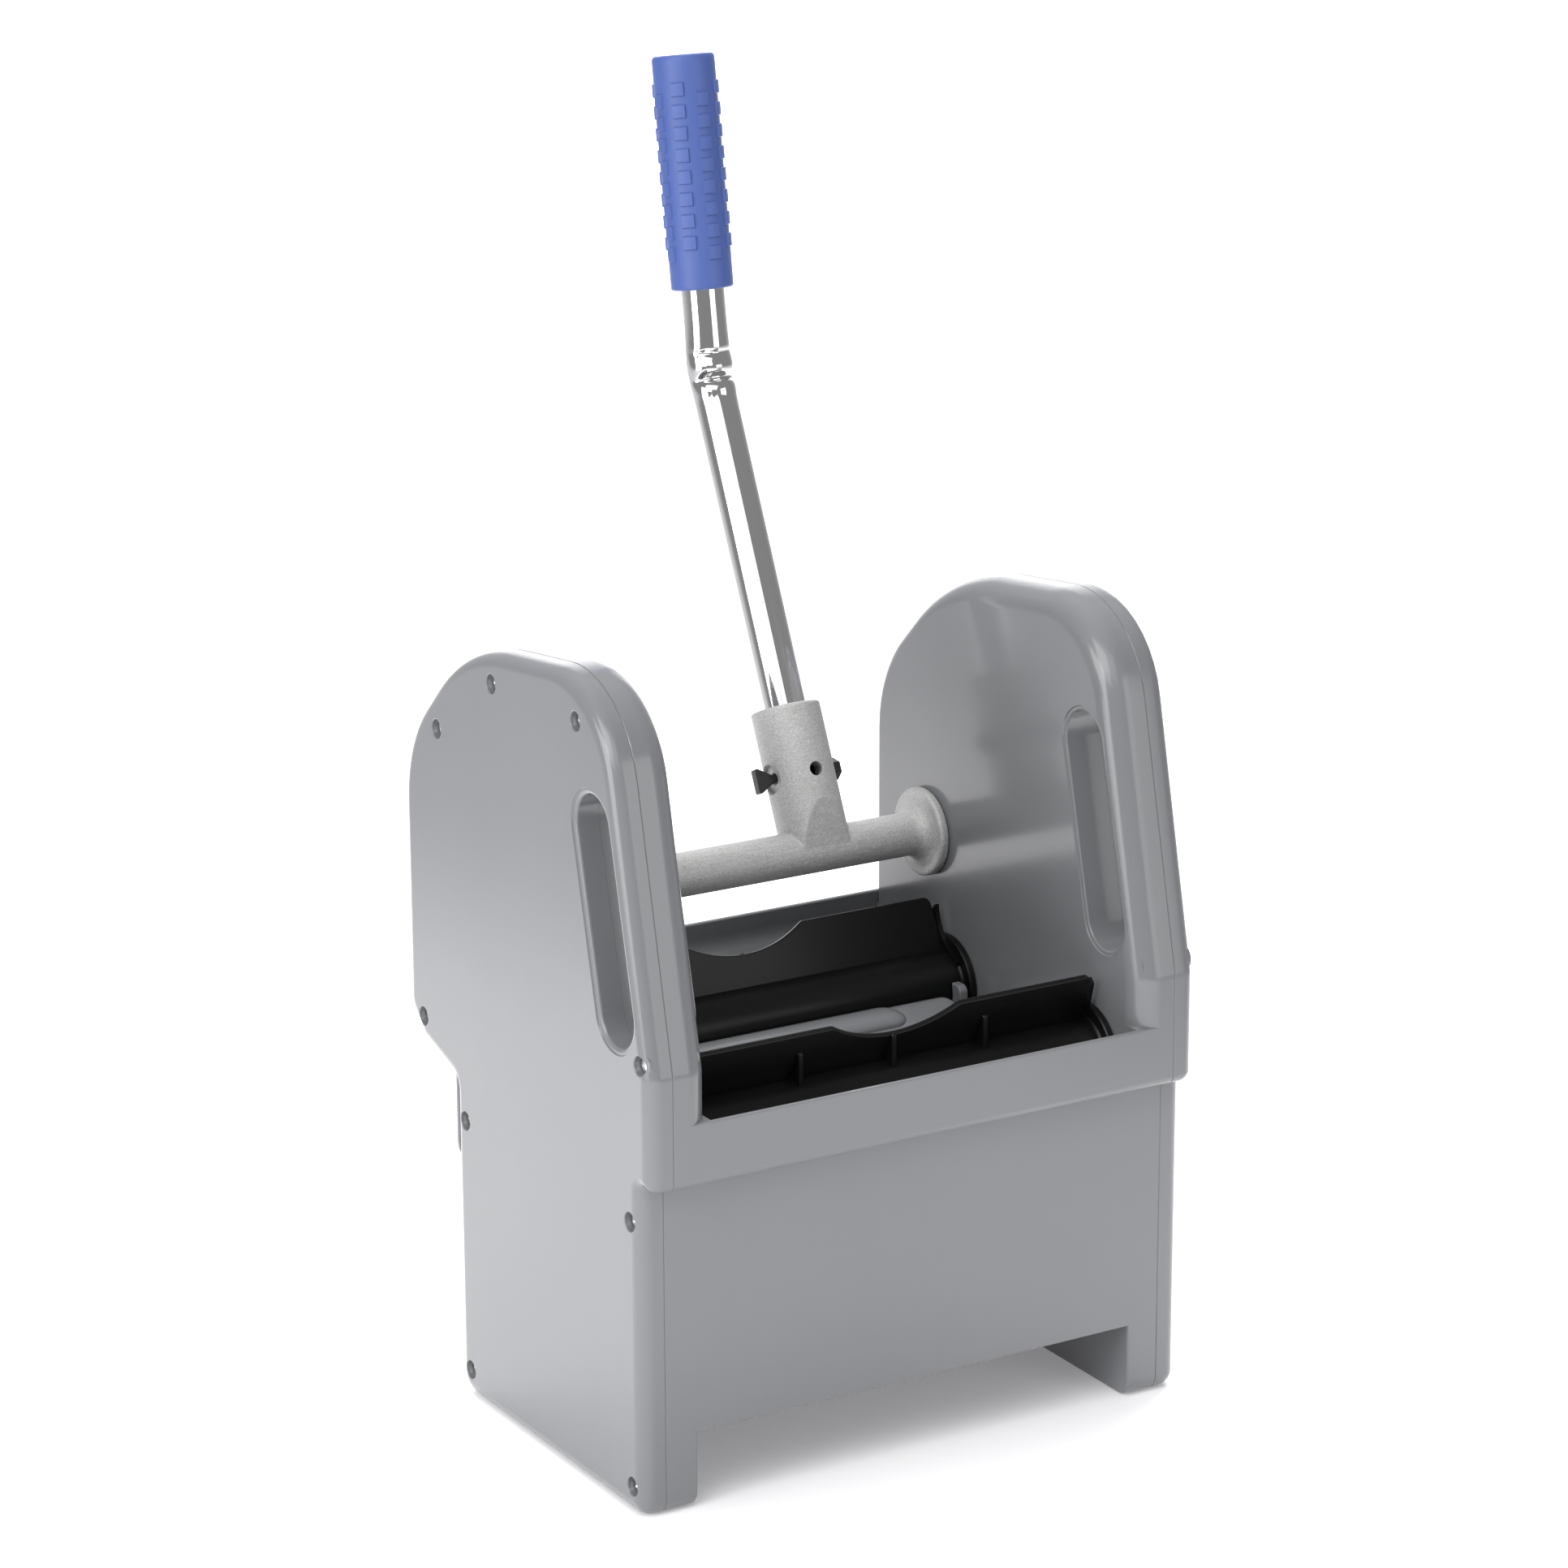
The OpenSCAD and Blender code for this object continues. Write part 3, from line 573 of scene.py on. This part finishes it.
def cross_walls():
    """Front wall with its band, and rear wall, between the side panels."""
    front = [(APRON_Y, APRON_Z, 1), (APRON_Y, BAND_Z, 1), (BAND_Y, BAND_Z, 5), (BAND_Y, BAND_TOP, 1)]
    rear = [(REAR_Y, REAR_TOP, 1), *REAR_SHOULDER, (LOWER_REAR_Y, APRON_Z, 1)]
    reach, edge = FOOT + 1.5, 1.2
    walls = []
    for path in (front, rear):
        profile = wall_profile(path, WALL, edge)
        if not grows_inwards(profile):
            profile = wall_profile(path[::-1], WALL, edge)
        walls.append(along_x("wall", [(x, ring(profile, 0, 6)) for x in (-reach, reach)]))
    return walls


def grows_inwards(profile):
    """True if a wall's second half lies nearer to the middle of the body than its path."""
    n = len(profile) // 2
    path, added = (sum(abs(p[0] - MID_Y) for p in part) for part in (profile[:n], profile[n:]))
    return added < path


def bed():
    """Raised bed between the plates: a shallow valley, rounded lips and two long pads."""
    lip, rise, low, half_x = 42.0, 0.27, 165.0, 99.0
    top = low + rise * lip
    base = PAN_TOP - WALL
    pad_y, pad_z, pad_w, pad_h, pad_x, pad_end, steps = 29.5, 170.4, 11.6, 5.2, 57.0, 11.0, 16

    def profile(shrink):
        return ring([(MID_Y - lip + shrink, base, 0), (MID_Y + lip - shrink, base, 0),
                     (MID_Y + lip - shrink, top - shrink * 0.6, 8), (MID_Y, low - shrink * 0.6, 20),
                     (MID_Y - lip + shrink, top - shrink * 0.6, 8)], 0, 8)

    def pad(s, size):
        return [Vector((MID_Y + s * pad_y + pad_w * size * p.x, pad_z + pad_h * size * p.y))
                for p in circle((0, 0), 1, 40)]

    raised = along_x("bed", [(x, profile(g)) for x, g in both_edges(-half_x, half_x, 5.0, 6)])
    hollow = along_x("hollow", [(x, lowered(profile(WALL))) for x in (-half_x + WALL, half_x - WALL)])
    pads = []
    for s in (-1, 1):
        left, right = [], []
        for i in range(steps // 2 + 1):
            a = math.pi * i / steps
            x = pad_x + pad_end * math.cos(a)
            section = pad(s, max(math.sin(a), 0.05))
            left.append((-x, section))
            right.insert(0, (x, section))
        pads.append(along_x("pad", left + right))
    combine(raised, [merge(pads, "pads")], "UNION")
    return combine(raised, [hollow], "DIFFERENCE")


def lowered(points):
    """A hollow's profile: thinner at the top, and cut through at the bottom."""
    low = min(p.y for p in points)
    return [Vector((p.x, p.y - 2 if p.y <= low + 0.01 else p.y - 2.2)) for p in points]


def drain_cutters():
    """Two rows of drain slots in the bed."""
    count, pitch, row_y, half_l, half_w = 8, 15.5, 10.5, 4.2, 1.5
    out = []
    for s in (-1, 1):
        for i in range(count):
            x, y = (i - (count - 1) / 2) * pitch, MID_Y + s * row_y
            out.append(block("drain", (x - half_l, y - half_w, 155), (x + half_l, y + half_w, 175),
                             0.7))
    return merge(out, "drains")


def saddle(side, axis):
    """Cradle at the end of a press plate's barrel."""
    half, top, x0, x1, edge = 26.0, 177.0, 105.5, 110.3, 0.8
    corners = [(axis.x - half, PAN_TOP - 1, 0), (axis.x + half, PAN_TOP - 1, 0),
               (axis.x + half, top, 4), (axis.x - half, top, 4)]
    return along_x("saddle", [(x, ring(corners, g)) for x, g in both_edges(x0, x1, edge)], side)


def skirt():
    """Skirt that hangs from the rear shoulder."""
    y0, y1, edge = 46.5, 49.5, 1.0
    corners = [(-SEAM, 169, 0), (-SEAM, 106.5, 12), (SEAM, 106.5, 12), (SEAM, 169, 0)]
    return loft("skirt", [[(p.x, y, p.y) for p in ring(corners, g)]
                          for y, g in both_edges(y0, y1, edge)])


def main_body():
    """The one grey moulding that carries everything."""
    solids, hollows, cutters = [], [], []
    bush_r, disc_room_r, boss_r, post_r, barrel_r = 14, 26, 18, 5, 19.2
    for side in (-1, 1):
        outer, hollow = arch(side)
        blocks, rooms = side_blocks(side)
        solids += [outer, *blocks]
        hollows += [hollow, *rooms]
        cutters.append(slot_cutter(PANEL, SEAM, 2.2, side))
        for axis in (LEVER, REAR, FRONT):
            stations = [(x, circle(axis, bush_r)) for x in (PANEL - 1, PANEL + 8)]
            cutters.append(along_x("bore", stations, side))
        for axis in (REAR, FRONT):
            stations = [(x, circle(axis, disc_room_r)) for x in (PANEL - 4.7, PANEL)]
            cutters.append(along_x("room", stations, side))
    body = solids[0]
    body.name = body.data.name = "main_body_moulding"
    pan = block("pan", (-FOOT - 1.5, APRON_Y + 1, PAN_TOP - WALL),
                (FOOT + 1.5, LOWER_REAR_Y - 1, PAN_TOP))
    combine(body, solids[1:] + cross_walls() + [pan], "UNION")
    combine(body, hollows, "DIFFERENCE")
    under_bed = block("room", (-96, MID_Y - 39, PAN_TOP - WALL - 1), (96, MID_Y + 39, PAN_TOP + 1))
    tubes, posts = [], []
    for side in (-1, 1):
        stations = [(x, hand_slot(SLOT_WALL)) for x in (PANEL + 1, SEAM - 0.1)]
        tubes.append(along_x("tube", stations, side))
        for axis in (LEVER, REAR, FRONT):
            stations = [(x, circle(axis, boss_r)) for x in (PANEL + 1, PANEL + 7)]
            posts.append(along_x("boss", stations, side))
        for p in SCREWS:
            x0 = (FOOT if p[1] < PAN_TOP else PANEL) + (4.5 if p[0] < APRON_Y else 1)
            stations = [(x, circle(p, post_r, 24)) for x in (x0, SEAM - 0.1)]
            posts.append(along_x("post", stations, side))
    combine(body, [under_bed], "DIFFERENCE")
    combine(body, tubes + [merge(posts, "posts")], "UNION")
    combine(body, cutters, "DIFFERENCE")
    cradles = [saddle(side, axis) for side in (-1, 1) for axis in (REAR, FRONT)]
    combine(body, [bed(), merge(cradles, "cradles"), skirt()], "UNION")
    barrels = [rod_x("barrel", -112.2, 112.2, axis, barrel_r, 96) for axis in (REAR, FRONT)]
    for barrel, axis in zip(barrels, (REAR, FRONT)):
        keep = block("keep", (-104, axis.x - 30, 140), (104, axis.x + 30, 200))
        combine(barrel, [keep], "DIFFERENCE")
    combine(body, barrels + [drain_cutters()], "DIFFERENCE")
    return tidy(body)


# ---------- press plates ----------

def turned_x(name, profile, centre, steps=72):
    """Solid turned round an axis along X, from (x, radius) pairs."""
    return along_x(name, [(x, circle(centre, r, steps)) for x, r in profile])


def placed(name, rings, place):
    """Loft of rings given in a local frame."""
    return loft(name, [[place @ Vector(p) for p in points] for points in rings])


def sheet_rings(corners, low, high, edge):
    """Rings of a flat sheet in the local XZ plane, from y low to high, with rounded edges."""
    return [[(p.x, y, p.y) for p in ring(corners, g, 5)] for y, g in both_edges(low, high, edge)]


def tang_holes(axis, half):
    """Cutters for the square holes in both ends of a shaft, which take the gears' tangs."""
    x0, x1 = 104.8, 118
    return [block("tang", (min(s * x0, s * x1), axis.x - half, axis.y - half),
                  (max(s * x0, s * x1), axis.x + half, axis.y + half)) for s in (-1, 1)]


def press_plate(axis, turned, name):
    """Barrel, end discs, scalloped paddle, ribs and end webs of one press plate."""
    place = Matrix.Translation((0, axis.x, axis.y)) @ Matrix.Rotation(math.pi if turned else 0, 4, "Z")
    end, disc_r, r = JOURNAL, 24.6, 18.0
    half = [(113, 19.2), (112.4, 18.4), (111.4, r)]
    rim = [(end, disc_r - 0.8), (end - 0.5, disc_r), (113.6, disc_r), (113, disc_r - 0.6)]
    profile = [(-x, q) for x, q in rim + half] + list(reversed(rim + half))
    plate = turned_x(name, profile, axis, 96)

    paddle_h, deep, scallop_r, lean = 30.0, 11.0, 61.0, math.radians(22)
    reach = math.sqrt(scallop_r ** 2 - (scallop_r - deep) ** 2)
    limit = math.asin(reach / scallop_r)
    dip = []
    for i in range(1, 16):
        a = limit * (1 - 2 * i / 16)
        dip.append((scallop_r * math.sin(a), paddle_h - deep + scallop_r * (1 - math.cos(a)), 0))
    corners = [(-113.4, -4, 0), (113.4, -4, 0), (109.4, paddle_h, 4), (reach, paddle_h, 3.5), *dip,
               (-reach, paddle_h, 3.5), (-109.4, paddle_h, 4)]
    stand = place @ Matrix.Translation((0, -0.6, 14.7)) @ Matrix.Rotation(-lean, 4, "X")
    solids = [placed("paddle", sheet_rings(corners, -1.5, 1.5, 0.7), stand)]
    rib = [(1, 20, 0.4), (2.6, 19, 0.8), (11, -1, 0.3), (1, -1, 0.3)]
    for x in (-51, 0, 51):
        rings = []
        for dx, g in ((-1.25, 0.35), (-0.9, 0), (0.9, 0), (1.25, 0.35)):
            rings.append([(x + dx, q.x, q.y) for q in ring(rib, g, 3)])
        solids.append(placed("rib", rings, stand))
    for side in (-1, 1):
        arc = []
        for i in range(13):
            a = math.radians(-75 + 71 * i / 12)
            arc.append((-21.5 + 27.5 * math.cos(a), 41.5 + 27.5 * math.sin(a)))
        web = [Vector(q) for q in [(8.5, 37), (0, 5), (-14.4, 13)] + arc]
        rings = [[(side * x, q.x, q.y) for q in web] for x in (110.9, 113.2)]
        solids.append(placed("web", rings, place))
    combine(plate, solids, "UNION")
    return tidy(combine(plate, tang_holes(axis, 6.1), "DIFFERENCE"))


# ---------- lever ----------

LEVER_X = 52.7
LEAN, UPPER_LEAN = math.radians(24.6), math.radians(8.8)
BEND = LEAN - UPPER_LEAN
BEND_AT, UPPER_L = 245.3, 158.2
SCREW_Z = 38.5
SOCKET_R, SOCKET_L = 17.5, 73.0
BAR_R, TUBE_R = 11.0, 11.0
AT_LEVER = Matrix.Translation((LEVER_X, LEVER.x, LEVER.y)) @ Matrix.Rotation(-LEAN, 4, "X")
AT_UPPER = AT_LEVER @ Matrix.Translation((0, 0, BEND_AT)) @ Matrix.Rotation(BEND, 4, "X")
AT_SCREW = AT_LEVER @ Matrix.Translation((0, 0, SCREW_Z))
SIDEWAYS = AT_SCREW @ Matrix.Rotation(math.pi / 2, 4, "Y")
FORWARD = AT_SCREW @ Matrix.Rotation(math.pi / 2, 4, "X")


def remesh(obj, voxel, rounds):
    """Soft, slightly uneven skin of a casting: voxel remesh, then smoothing."""
    grid = obj.modifiers.new("grid", "REMESH")
    grid.mode = "VOXEL"
    grid.voxel_size = voxel * MM
    soft = obj.modifiers.new("soft", "SMOOTH")
    soft.factor, soft.iterations = 0.5, rounds
    return apply_modifiers(obj)


def lever_casting():
    """Cross bar with its two flanges and the tube socket, as one sand casting."""
    end, flange_r = JOURNAL, 22.5
    neck = []
    for i in range(9):
        t = i / 8
        neck.append((104.0 + 7.7 * t, BAR_R + 8 * (1 - math.sqrt(1 - 0.98 * t * t))))
    half = [(end, flange_r - 1.2), (end - 0.6, flange_r - 0.2), (end - 1.6, flange_r),
            (end - 3.6, flange_r), (end - 4.6, flange_r - 0.5), (end - 5, flange_r - 1.4)]
    half += list(reversed(neck))
    profile = [(-x, r) for x, r in half] + list(reversed(half))
    bar = turned_x("lever_cross_bar", profile, LEVER)
    socket = lathe("socket", [(SOCKET_R - 0.3, -4), (SOCKET_R, 0), (SOCKET_R, SOCKET_L - 1.2),
                              (SOCKET_R - 0.35, SOCKET_L - 0.35), (SOCKET_R - 1.2, SOCKET_L)],
                   AT_LEVER, 96)
    flare = (SOCKET_R - BAR_R) / 24
    wedge = []
    for x in (-40, 40):
        wedge.append([(x, -BAR_R + flare * 8, -8), (x, BAR_R - flare * 8, -8),
                      (x, BAR_R + flare * 90, 90), (x, -BAR_R - flare * 90, 90)])
    combine(socket, [placed("wedge", wedge, AT_LEVER)], "INTERSECT")
    remesh(combine(bar, [socket], "UNION"), 0.5, 1)
    cutters = [lathe("bore", [(TUBE_R + 0.35, 14), (TUBE_R + 0.35, 90)], AT_LEVER, 64),
               lathe("cross", [(3.2, -30), (3.2, 30)], SIDEWAYS, 32),
               lathe("spot", [(7.5, 16.5), (7.5, 30)], SIDEWAYS, 48),
               lathe("spot", [(7.5, -30), (7.5, -14.7)], SIDEWAYS, 48),
               lathe("hole", [(3.5, 0), (3.5, 17.0), (3.9, 18), (3.9, 30)], FORWARD, 48)]
    return combine(bar, cutters + tang_holes(LEVER, 6.3), "DIFFERENCE")


def tube_skin(s, a):
    """How far the pressed bend moves the tube's skin at height s and angle a from its inner side."""
    inner = max(math.cos(a), 0.0)
    upper = 1.2 * math.exp(-((s - 10.4) / 1.5) ** 2) * inner ** 1.6
    lower = 3.0 * math.exp(-((s + 4.2) / 1.9) ** 2) * inner ** 1.4
    ledge = 1.0 * math.exp(-((s + 1.9) / 1.6) ** 2) * inner ** 3
    bulge = 1.1 * math.exp(-((s - 3.3) / 4.0) ** 2) * inner ** 0.8
    shoulder = 0.6 * math.exp(-((s + 10.0) / 3.0) ** 2) * inner
    flat = 0.8 * math.exp(-((s - 4.0) / 13.0) ** 2) * abs(math.sin(a)) ** 3
    return bulge + flat + shoulder - (upper + lower + ledge)


def lever_tube():
    """Chromed tube with the creases that the bending press leaves on its inner side."""
    radius, steps = 38.0, 96
    tangent = radius * math.tan(BEND / 2)
    turn = AT_LEVER @ Matrix.Translation((0, 0, BEND_AT))
    levels = [14.5 - BEND_AT, -120, -60]
    levels += [-36 + 0.6 * i for i in range(121)]
    levels += [60, UPPER_L - 4]
    rings = []
    for s in levels:
        if s <= -tangent:
            centre, lean = Vector((0, 0, s)), 0.0
        elif s >= tangent:
            centre, lean = Vector((0, -math.sin(BEND) * s, math.cos(BEND) * s)), BEND
        else:
            lean = (s + tangent) / (2 * tangent) * BEND
            centre = Vector((0, -radius * (1 - math.cos(lean)),
                             -tangent + radius * math.sin(lean)))
        turned = Matrix.Translation(centre) @ Matrix.Rotation(lean, 4, "X")
        points = []
        for i in range(steps):
            a = 2 * math.pi * i / steps
            r = TUBE_R + (tube_skin(s, a) if abs(s) < 36.5 else 0)
            points.append(turn @ turned @ Vector((r * math.sin(a), -r * math.cos(a), 0)))
        rings.append(points)
    inner = []
    for points in (rings[0], rings[2]):
        middle = sum(points, Vector()) / steps
        inner.append([middle + (p - middle) * (TUBE_R - 1.5) / TUBE_R for p in points])
    tube = loft("lever_tube_bent", [inner[1], inner[0]] + rings)
    drills = [lathe("drill", [(3.2, -14), (3.2, 14)], SIDEWAYS, 32),
              lathe("drill", [(3.1, 0), (3.1, 14)], FORWARD, 32)]
    return combine(tube, drills, "DIFFERENCE")


def lever_grip():
    """Moulded grip sleeve with staggered columns of raised blocks."""
    length, r, bore = 116.0, 15.7, TUBE_R + 0.08
    columns, rows, pitch, plain, tall, high = 8, 8, 10.8, 14.6, 7.0, 0.95
    half, edge = math.degrees(3.25 / r), 1.5
    angles = []
    for c in range(columns):
        for a in (-22.5, -17.5, -half - edge / 2, -half + edge / 2, -6, 0, 6, half - edge / 2,
                  half + edge / 2, 17.5):
            angles.append((c, a))
    soft = 0.42
    levels = set()
    for k in range(rows):
        for shift in (0, pitch / 2):
            z = plain + pitch * k + shift
            levels |= {z, z + soft, z + tall - soft, z + tall}
    place = AT_UPPER @ Matrix.Translation((0, 0, UPPER_L - length))

    def points(radius, z):
        out = []
        for c, a in angles:
            w = math.radians(c * 360 / columns + a)
            q = radius
            row = (z - plain - (c % 2) * pitch / 2) / pitch
            up = (row - math.floor(row)) * pitch
            inside = soft - 0.01 <= up <= tall - soft + 0.01 and 0 <= row < rows
            if inside and abs(a) < half:
                q += high
            out.append(place @ Vector((q * math.cos(w), q * math.sin(w), z)))
        return out

    rings = [points(bore, length - 5), points(bore, 0.5), points(bore + 0.5, 0), points(r - 1.3, 0),
             points(r - 0.5, 0.25), points(r - 0.1, 0.8), points(r, 1.6)]
    rings += [points(r, z) for z in sorted(levels)]
    rings += [points(r, length - 3), points(r - 0.15, length - 1.6), points(r - 0.6, length - 0.6),
              points(r - 1.5, length - 0.05), points(r - 2.6, length)]
    return loft("lever_grip_sleeve", rings)


def wing_screw():
    """Hand screw with a flat wing that widens outwards from a small neck."""
    screw = lathe("wing_screw_moulded", [(2.2, -19.5), (2.7, -19.1), (2.7, -16.8), (2.4, -16.5),
                                         (2.4, -15), (2.95, -14.8), (2.95, 22.2), (2.4, 22.7)],
                  SIDEWAYS, 40)
    corners = [(-17.6, -2.5, 0.5), (-17.6, 2.5, 0.5), (-24.2, 6.3, 0.9), (-25.7, 6.1, 0.5),
               (-25.7, -6.1, 0.5), (-24.2, -6.3, 0.9)]
    wing = placed("wing", sheet_rings(corners, -2.5, 2.5, 0.5), AT_SCREW)
    return tidy(combine(screw, [wing], "UNION"))


def wing_screw_nut():
    """Hexagon nut at the far end of the wing screw."""
    nut = lathe("wing_screw_nut_moulded", [(5.3, 16.5), (5.75, 16.9), (5.75, 20.8), (5.0, 21.5)],
                SIDEWAYS, 6)
    bore = lathe("bore", [(3.1, 10), (3.1, 30)], SIDEWAYS, 32)
    return combine(nut, [bore], "DIFFERENCE")


def cover_screws(side, name):
    """Nine cross-head screws with domed heads, at the bottom of their recesses."""
    seat, high, rim, r, shank_r, tip_r = HALF_W - SCREW_RECESS, 2.4, 0.9, 3.7, 2, 1.2
    screws, slots = [], []
    for n, p in enumerate(SCREWS):
        spin = 0.7 * n
        dome = [(seat + 0.02, circle(p, r, 32)), (seat + rim, circle(p, r, 32))]
        for i in range(1, 6):
            a = math.pi / 2 * i / 5.5
            dome.append((seat + rim + (high - rim) * math.sin(a), circle(p, r * math.cos(a), 32)))
        body = [(SEAM - 12, circle(p, tip_r, 32)), (SEAM - 10, circle(p, shank_r, 32)),
                (seat + 0.02, circle(p, shank_r, 32))]
        screws.append(along_x("screw", body + dome, side))
        for quarter_turn in (0, math.pi / 2):
            c, s = math.cos(spin + quarter_turn), math.sin(spin + quarter_turn)
            rings = []
            for x, long, wide in ((seat + 1.1, 1.1, 0.35), (seat + 3, 2.5, 0.55)):
                rings.append((x, [Vector(p) + Vector((u * c - v * s, u * s + v * c))
                                  for u, v in ((long, wide), (-long, wide), (-long, -wide),
                                               (long, -wide))]))
            slots.append(along_x("slot", rings, side))
    return combine(merge(screws, name), slots, "DIFFERENCE")


# ---------- scene ----------

for node, obj in frame["nodes"].items():
    obj.data.materials.clear()
    obj.data.materials.append(MATERIALS[SLOT_OF[node]])

for side, name in ((-1, "left_cover"), (1, "right_cover")):
    dress(cover(side, name + "_shell"), MATERIALS["housing"], "frame", [name])
    dress(cover_screws(side, name + "_screw_set"), MATERIALS["screws"], "frame",
          [name + "_screws"])
dress(main_body(), MATERIALS["housing"], "frame", ["main_body"])
for axis, turned, side in ((REAR, False, "rear"), (FRONT, True, "front")):
    dress(press_plate(axis, turned, side + "_plate_moulding"), MATERIALS["plates"], side + "_plate",
          [side + "_press_plate"])
dress(lever_casting(), MATERIALS["casting"], "lever", ["lever_casting"], 180)
dress(lever_tube(), MATERIALS["tube"], "lever", ["lever_tube"], 60)
dress(lever_grip(), MATERIALS["grip"], "lever", ["lever_grip"])
dress(wing_screw(), MATERIALS["black_hardware"], "wing_screw", ["wing_screw"])
dress(wing_screw_nut(), MATERIALS["black_hardware"], "lever", ["wing_screw_nut"])


def paper():
    """Pale matt paper that turns darker far out at both sides."""
    m = Nodes("paper")
    tone = m.blend(m.spread(m.noise(3, 3), 0.3, 0.7), (0.9, 0.9, 0.91, 1), (0.93, 0.93, 0.935, 1))
    place = m.add("ShaderNodeSeparateXYZ", {"Vector": m.place}).outputs
    beside = m.add("ShaderNodeMath", {0: place[0]}, operation="ABSOLUTE").outputs[0]
    widens = m.math("MULTIPLY", m.math("MAXIMUM", place[1], 0.0), 0.22)
    tone = m.blend(m.spread(m.math("SUBTRACT", beside, widens), 0.60, 0.85), tone,
                   (0.3, 0.3, 0.305, 1))
    m.set(Base_Color=tone, Roughness=0.75, Specular_IOR_Level=0.2)
    m.set(Emission_Color=(1.0, 0.98, 1.03, 1), Emission_Strength=0.17)
    return m.material


def pale_floor():
    """Pale floor that curves up behind the object."""
    floor = bpy.data.meshes.new("floor")
    bm = bmesh.new()
    reach, back, rise, sweep = 8.0, 3.0, 4.0, 1.5
    profile = [(-reach, 0), (back, 0)]
    for i in range(1, 13):
        a = math.pi / 2 * i / 12
        profile.append((back + sweep * math.sin(a), sweep * (1 - math.cos(a))))
    profile.append((back + sweep, rise))
    rows = [[bm.verts.new((x, y, z - 0.0002)) for x in (-reach, reach)] for y, z in profile]
    for a, b in zip(rows, rows[1:]):
        bm.faces.new((a[0], a[1], b[1], b[0]))
    bm.to_mesh(floor)
    bm.free()
    backdrop = bpy.data.objects.new("backdrop", floor)
    backdrop.rotation_euler.z = math.radians(-31)
    bpy.context.scene.collection.objects.link(backdrop)
    floor.shade_smooth()
    floor.materials.append(paper())


def soft_world():
    """Even, weak light from all round."""
    world = bpy.data.worlds.new("studio")
    bpy.context.scene.world = world
    world.use_nodes = True
    world.node_tree.nodes["Background"].inputs[0].default_value = (1.0, 1.0, 1.0, 1)
    world.node_tree.nodes["Background"].inputs[1].default_value = 0.26


def softbox(name, at, target, size, power, mirrored=True):
    """Soft rectangular light; reflections show it only if mirrored is true."""
    light = bpy.data.lights.new(name, "AREA")
    light.shape = "RECTANGLE"
    light.size, light.size_y = size
    light.energy = power
    obj = bpy.data.objects.new(name, light)
    obj.location = at
    obj.visible_glossy = mirrored
    obj.rotation_euler = (Vector(target) - Vector(at)).to_track_quat("-Z", "Y").to_euler()
    bpy.context.scene.collection.objects.link(obj)


def lights():
    """Lights round the camera's side of the object, and two from above."""
    centre = Vector((0, -0.05, 0.3))
    for name, turn, lift, distance, size, power in (
            ("left strip", 84, 10, 2.3, (1.3, 1.5), 25), ("left front", 62, 34, 2.4, (1.4, 1.4), 15),
            ("front", 45, 42, 2.6, (2.6, 1.4), 14), ("right strip", -22, 12, 2.5, (1.3, 1.4), 10)):
        turn, lift = math.radians(turn), math.radians(lift)
        away = Vector((-math.sin(turn) * math.cos(lift), -math.cos(turn) * math.cos(lift),
                       math.sin(lift)))
        softbox(name, centre + distance * away, centre, size, power)
    softbox("backdrop wash", (0.9, 1.6, 2.9), (1.2, 2.2, 0), (3.0, 1.5), 190, False)
    softbox("overhead", (-0.3, -0.2, 2.7), centre, (2.6, 2.6), 42, False)


def viewpoint():
    """Camera at the photograph's viewing angle."""
    data = bpy.data.cameras.new("camera")
    data.sensor_width = 36
    data.lens = 113.739
    camera = bpy.data.objects.new("camera", data)
    yaw, pitch, roll = math.radians(-30.98), math.radians(16.36), math.radians(-0.215)
    camera.matrix_world = Matrix.Translation((-1.1698, -1.9818, 0.9672)) @ (
        Matrix.Rotation(yaw, 4, "Z") @ Matrix.Rotation(math.pi / 2 - pitch, 4, "X")
        @ Matrix.Rotation(roll, 4, "Z"))
    bpy.context.scene.collection.objects.link(camera)
    bpy.context.scene.camera = camera


pale_floor()
soft_world()
lights()
viewpoint()
bpy.context.scene.view_settings.view_transform = "Standard"
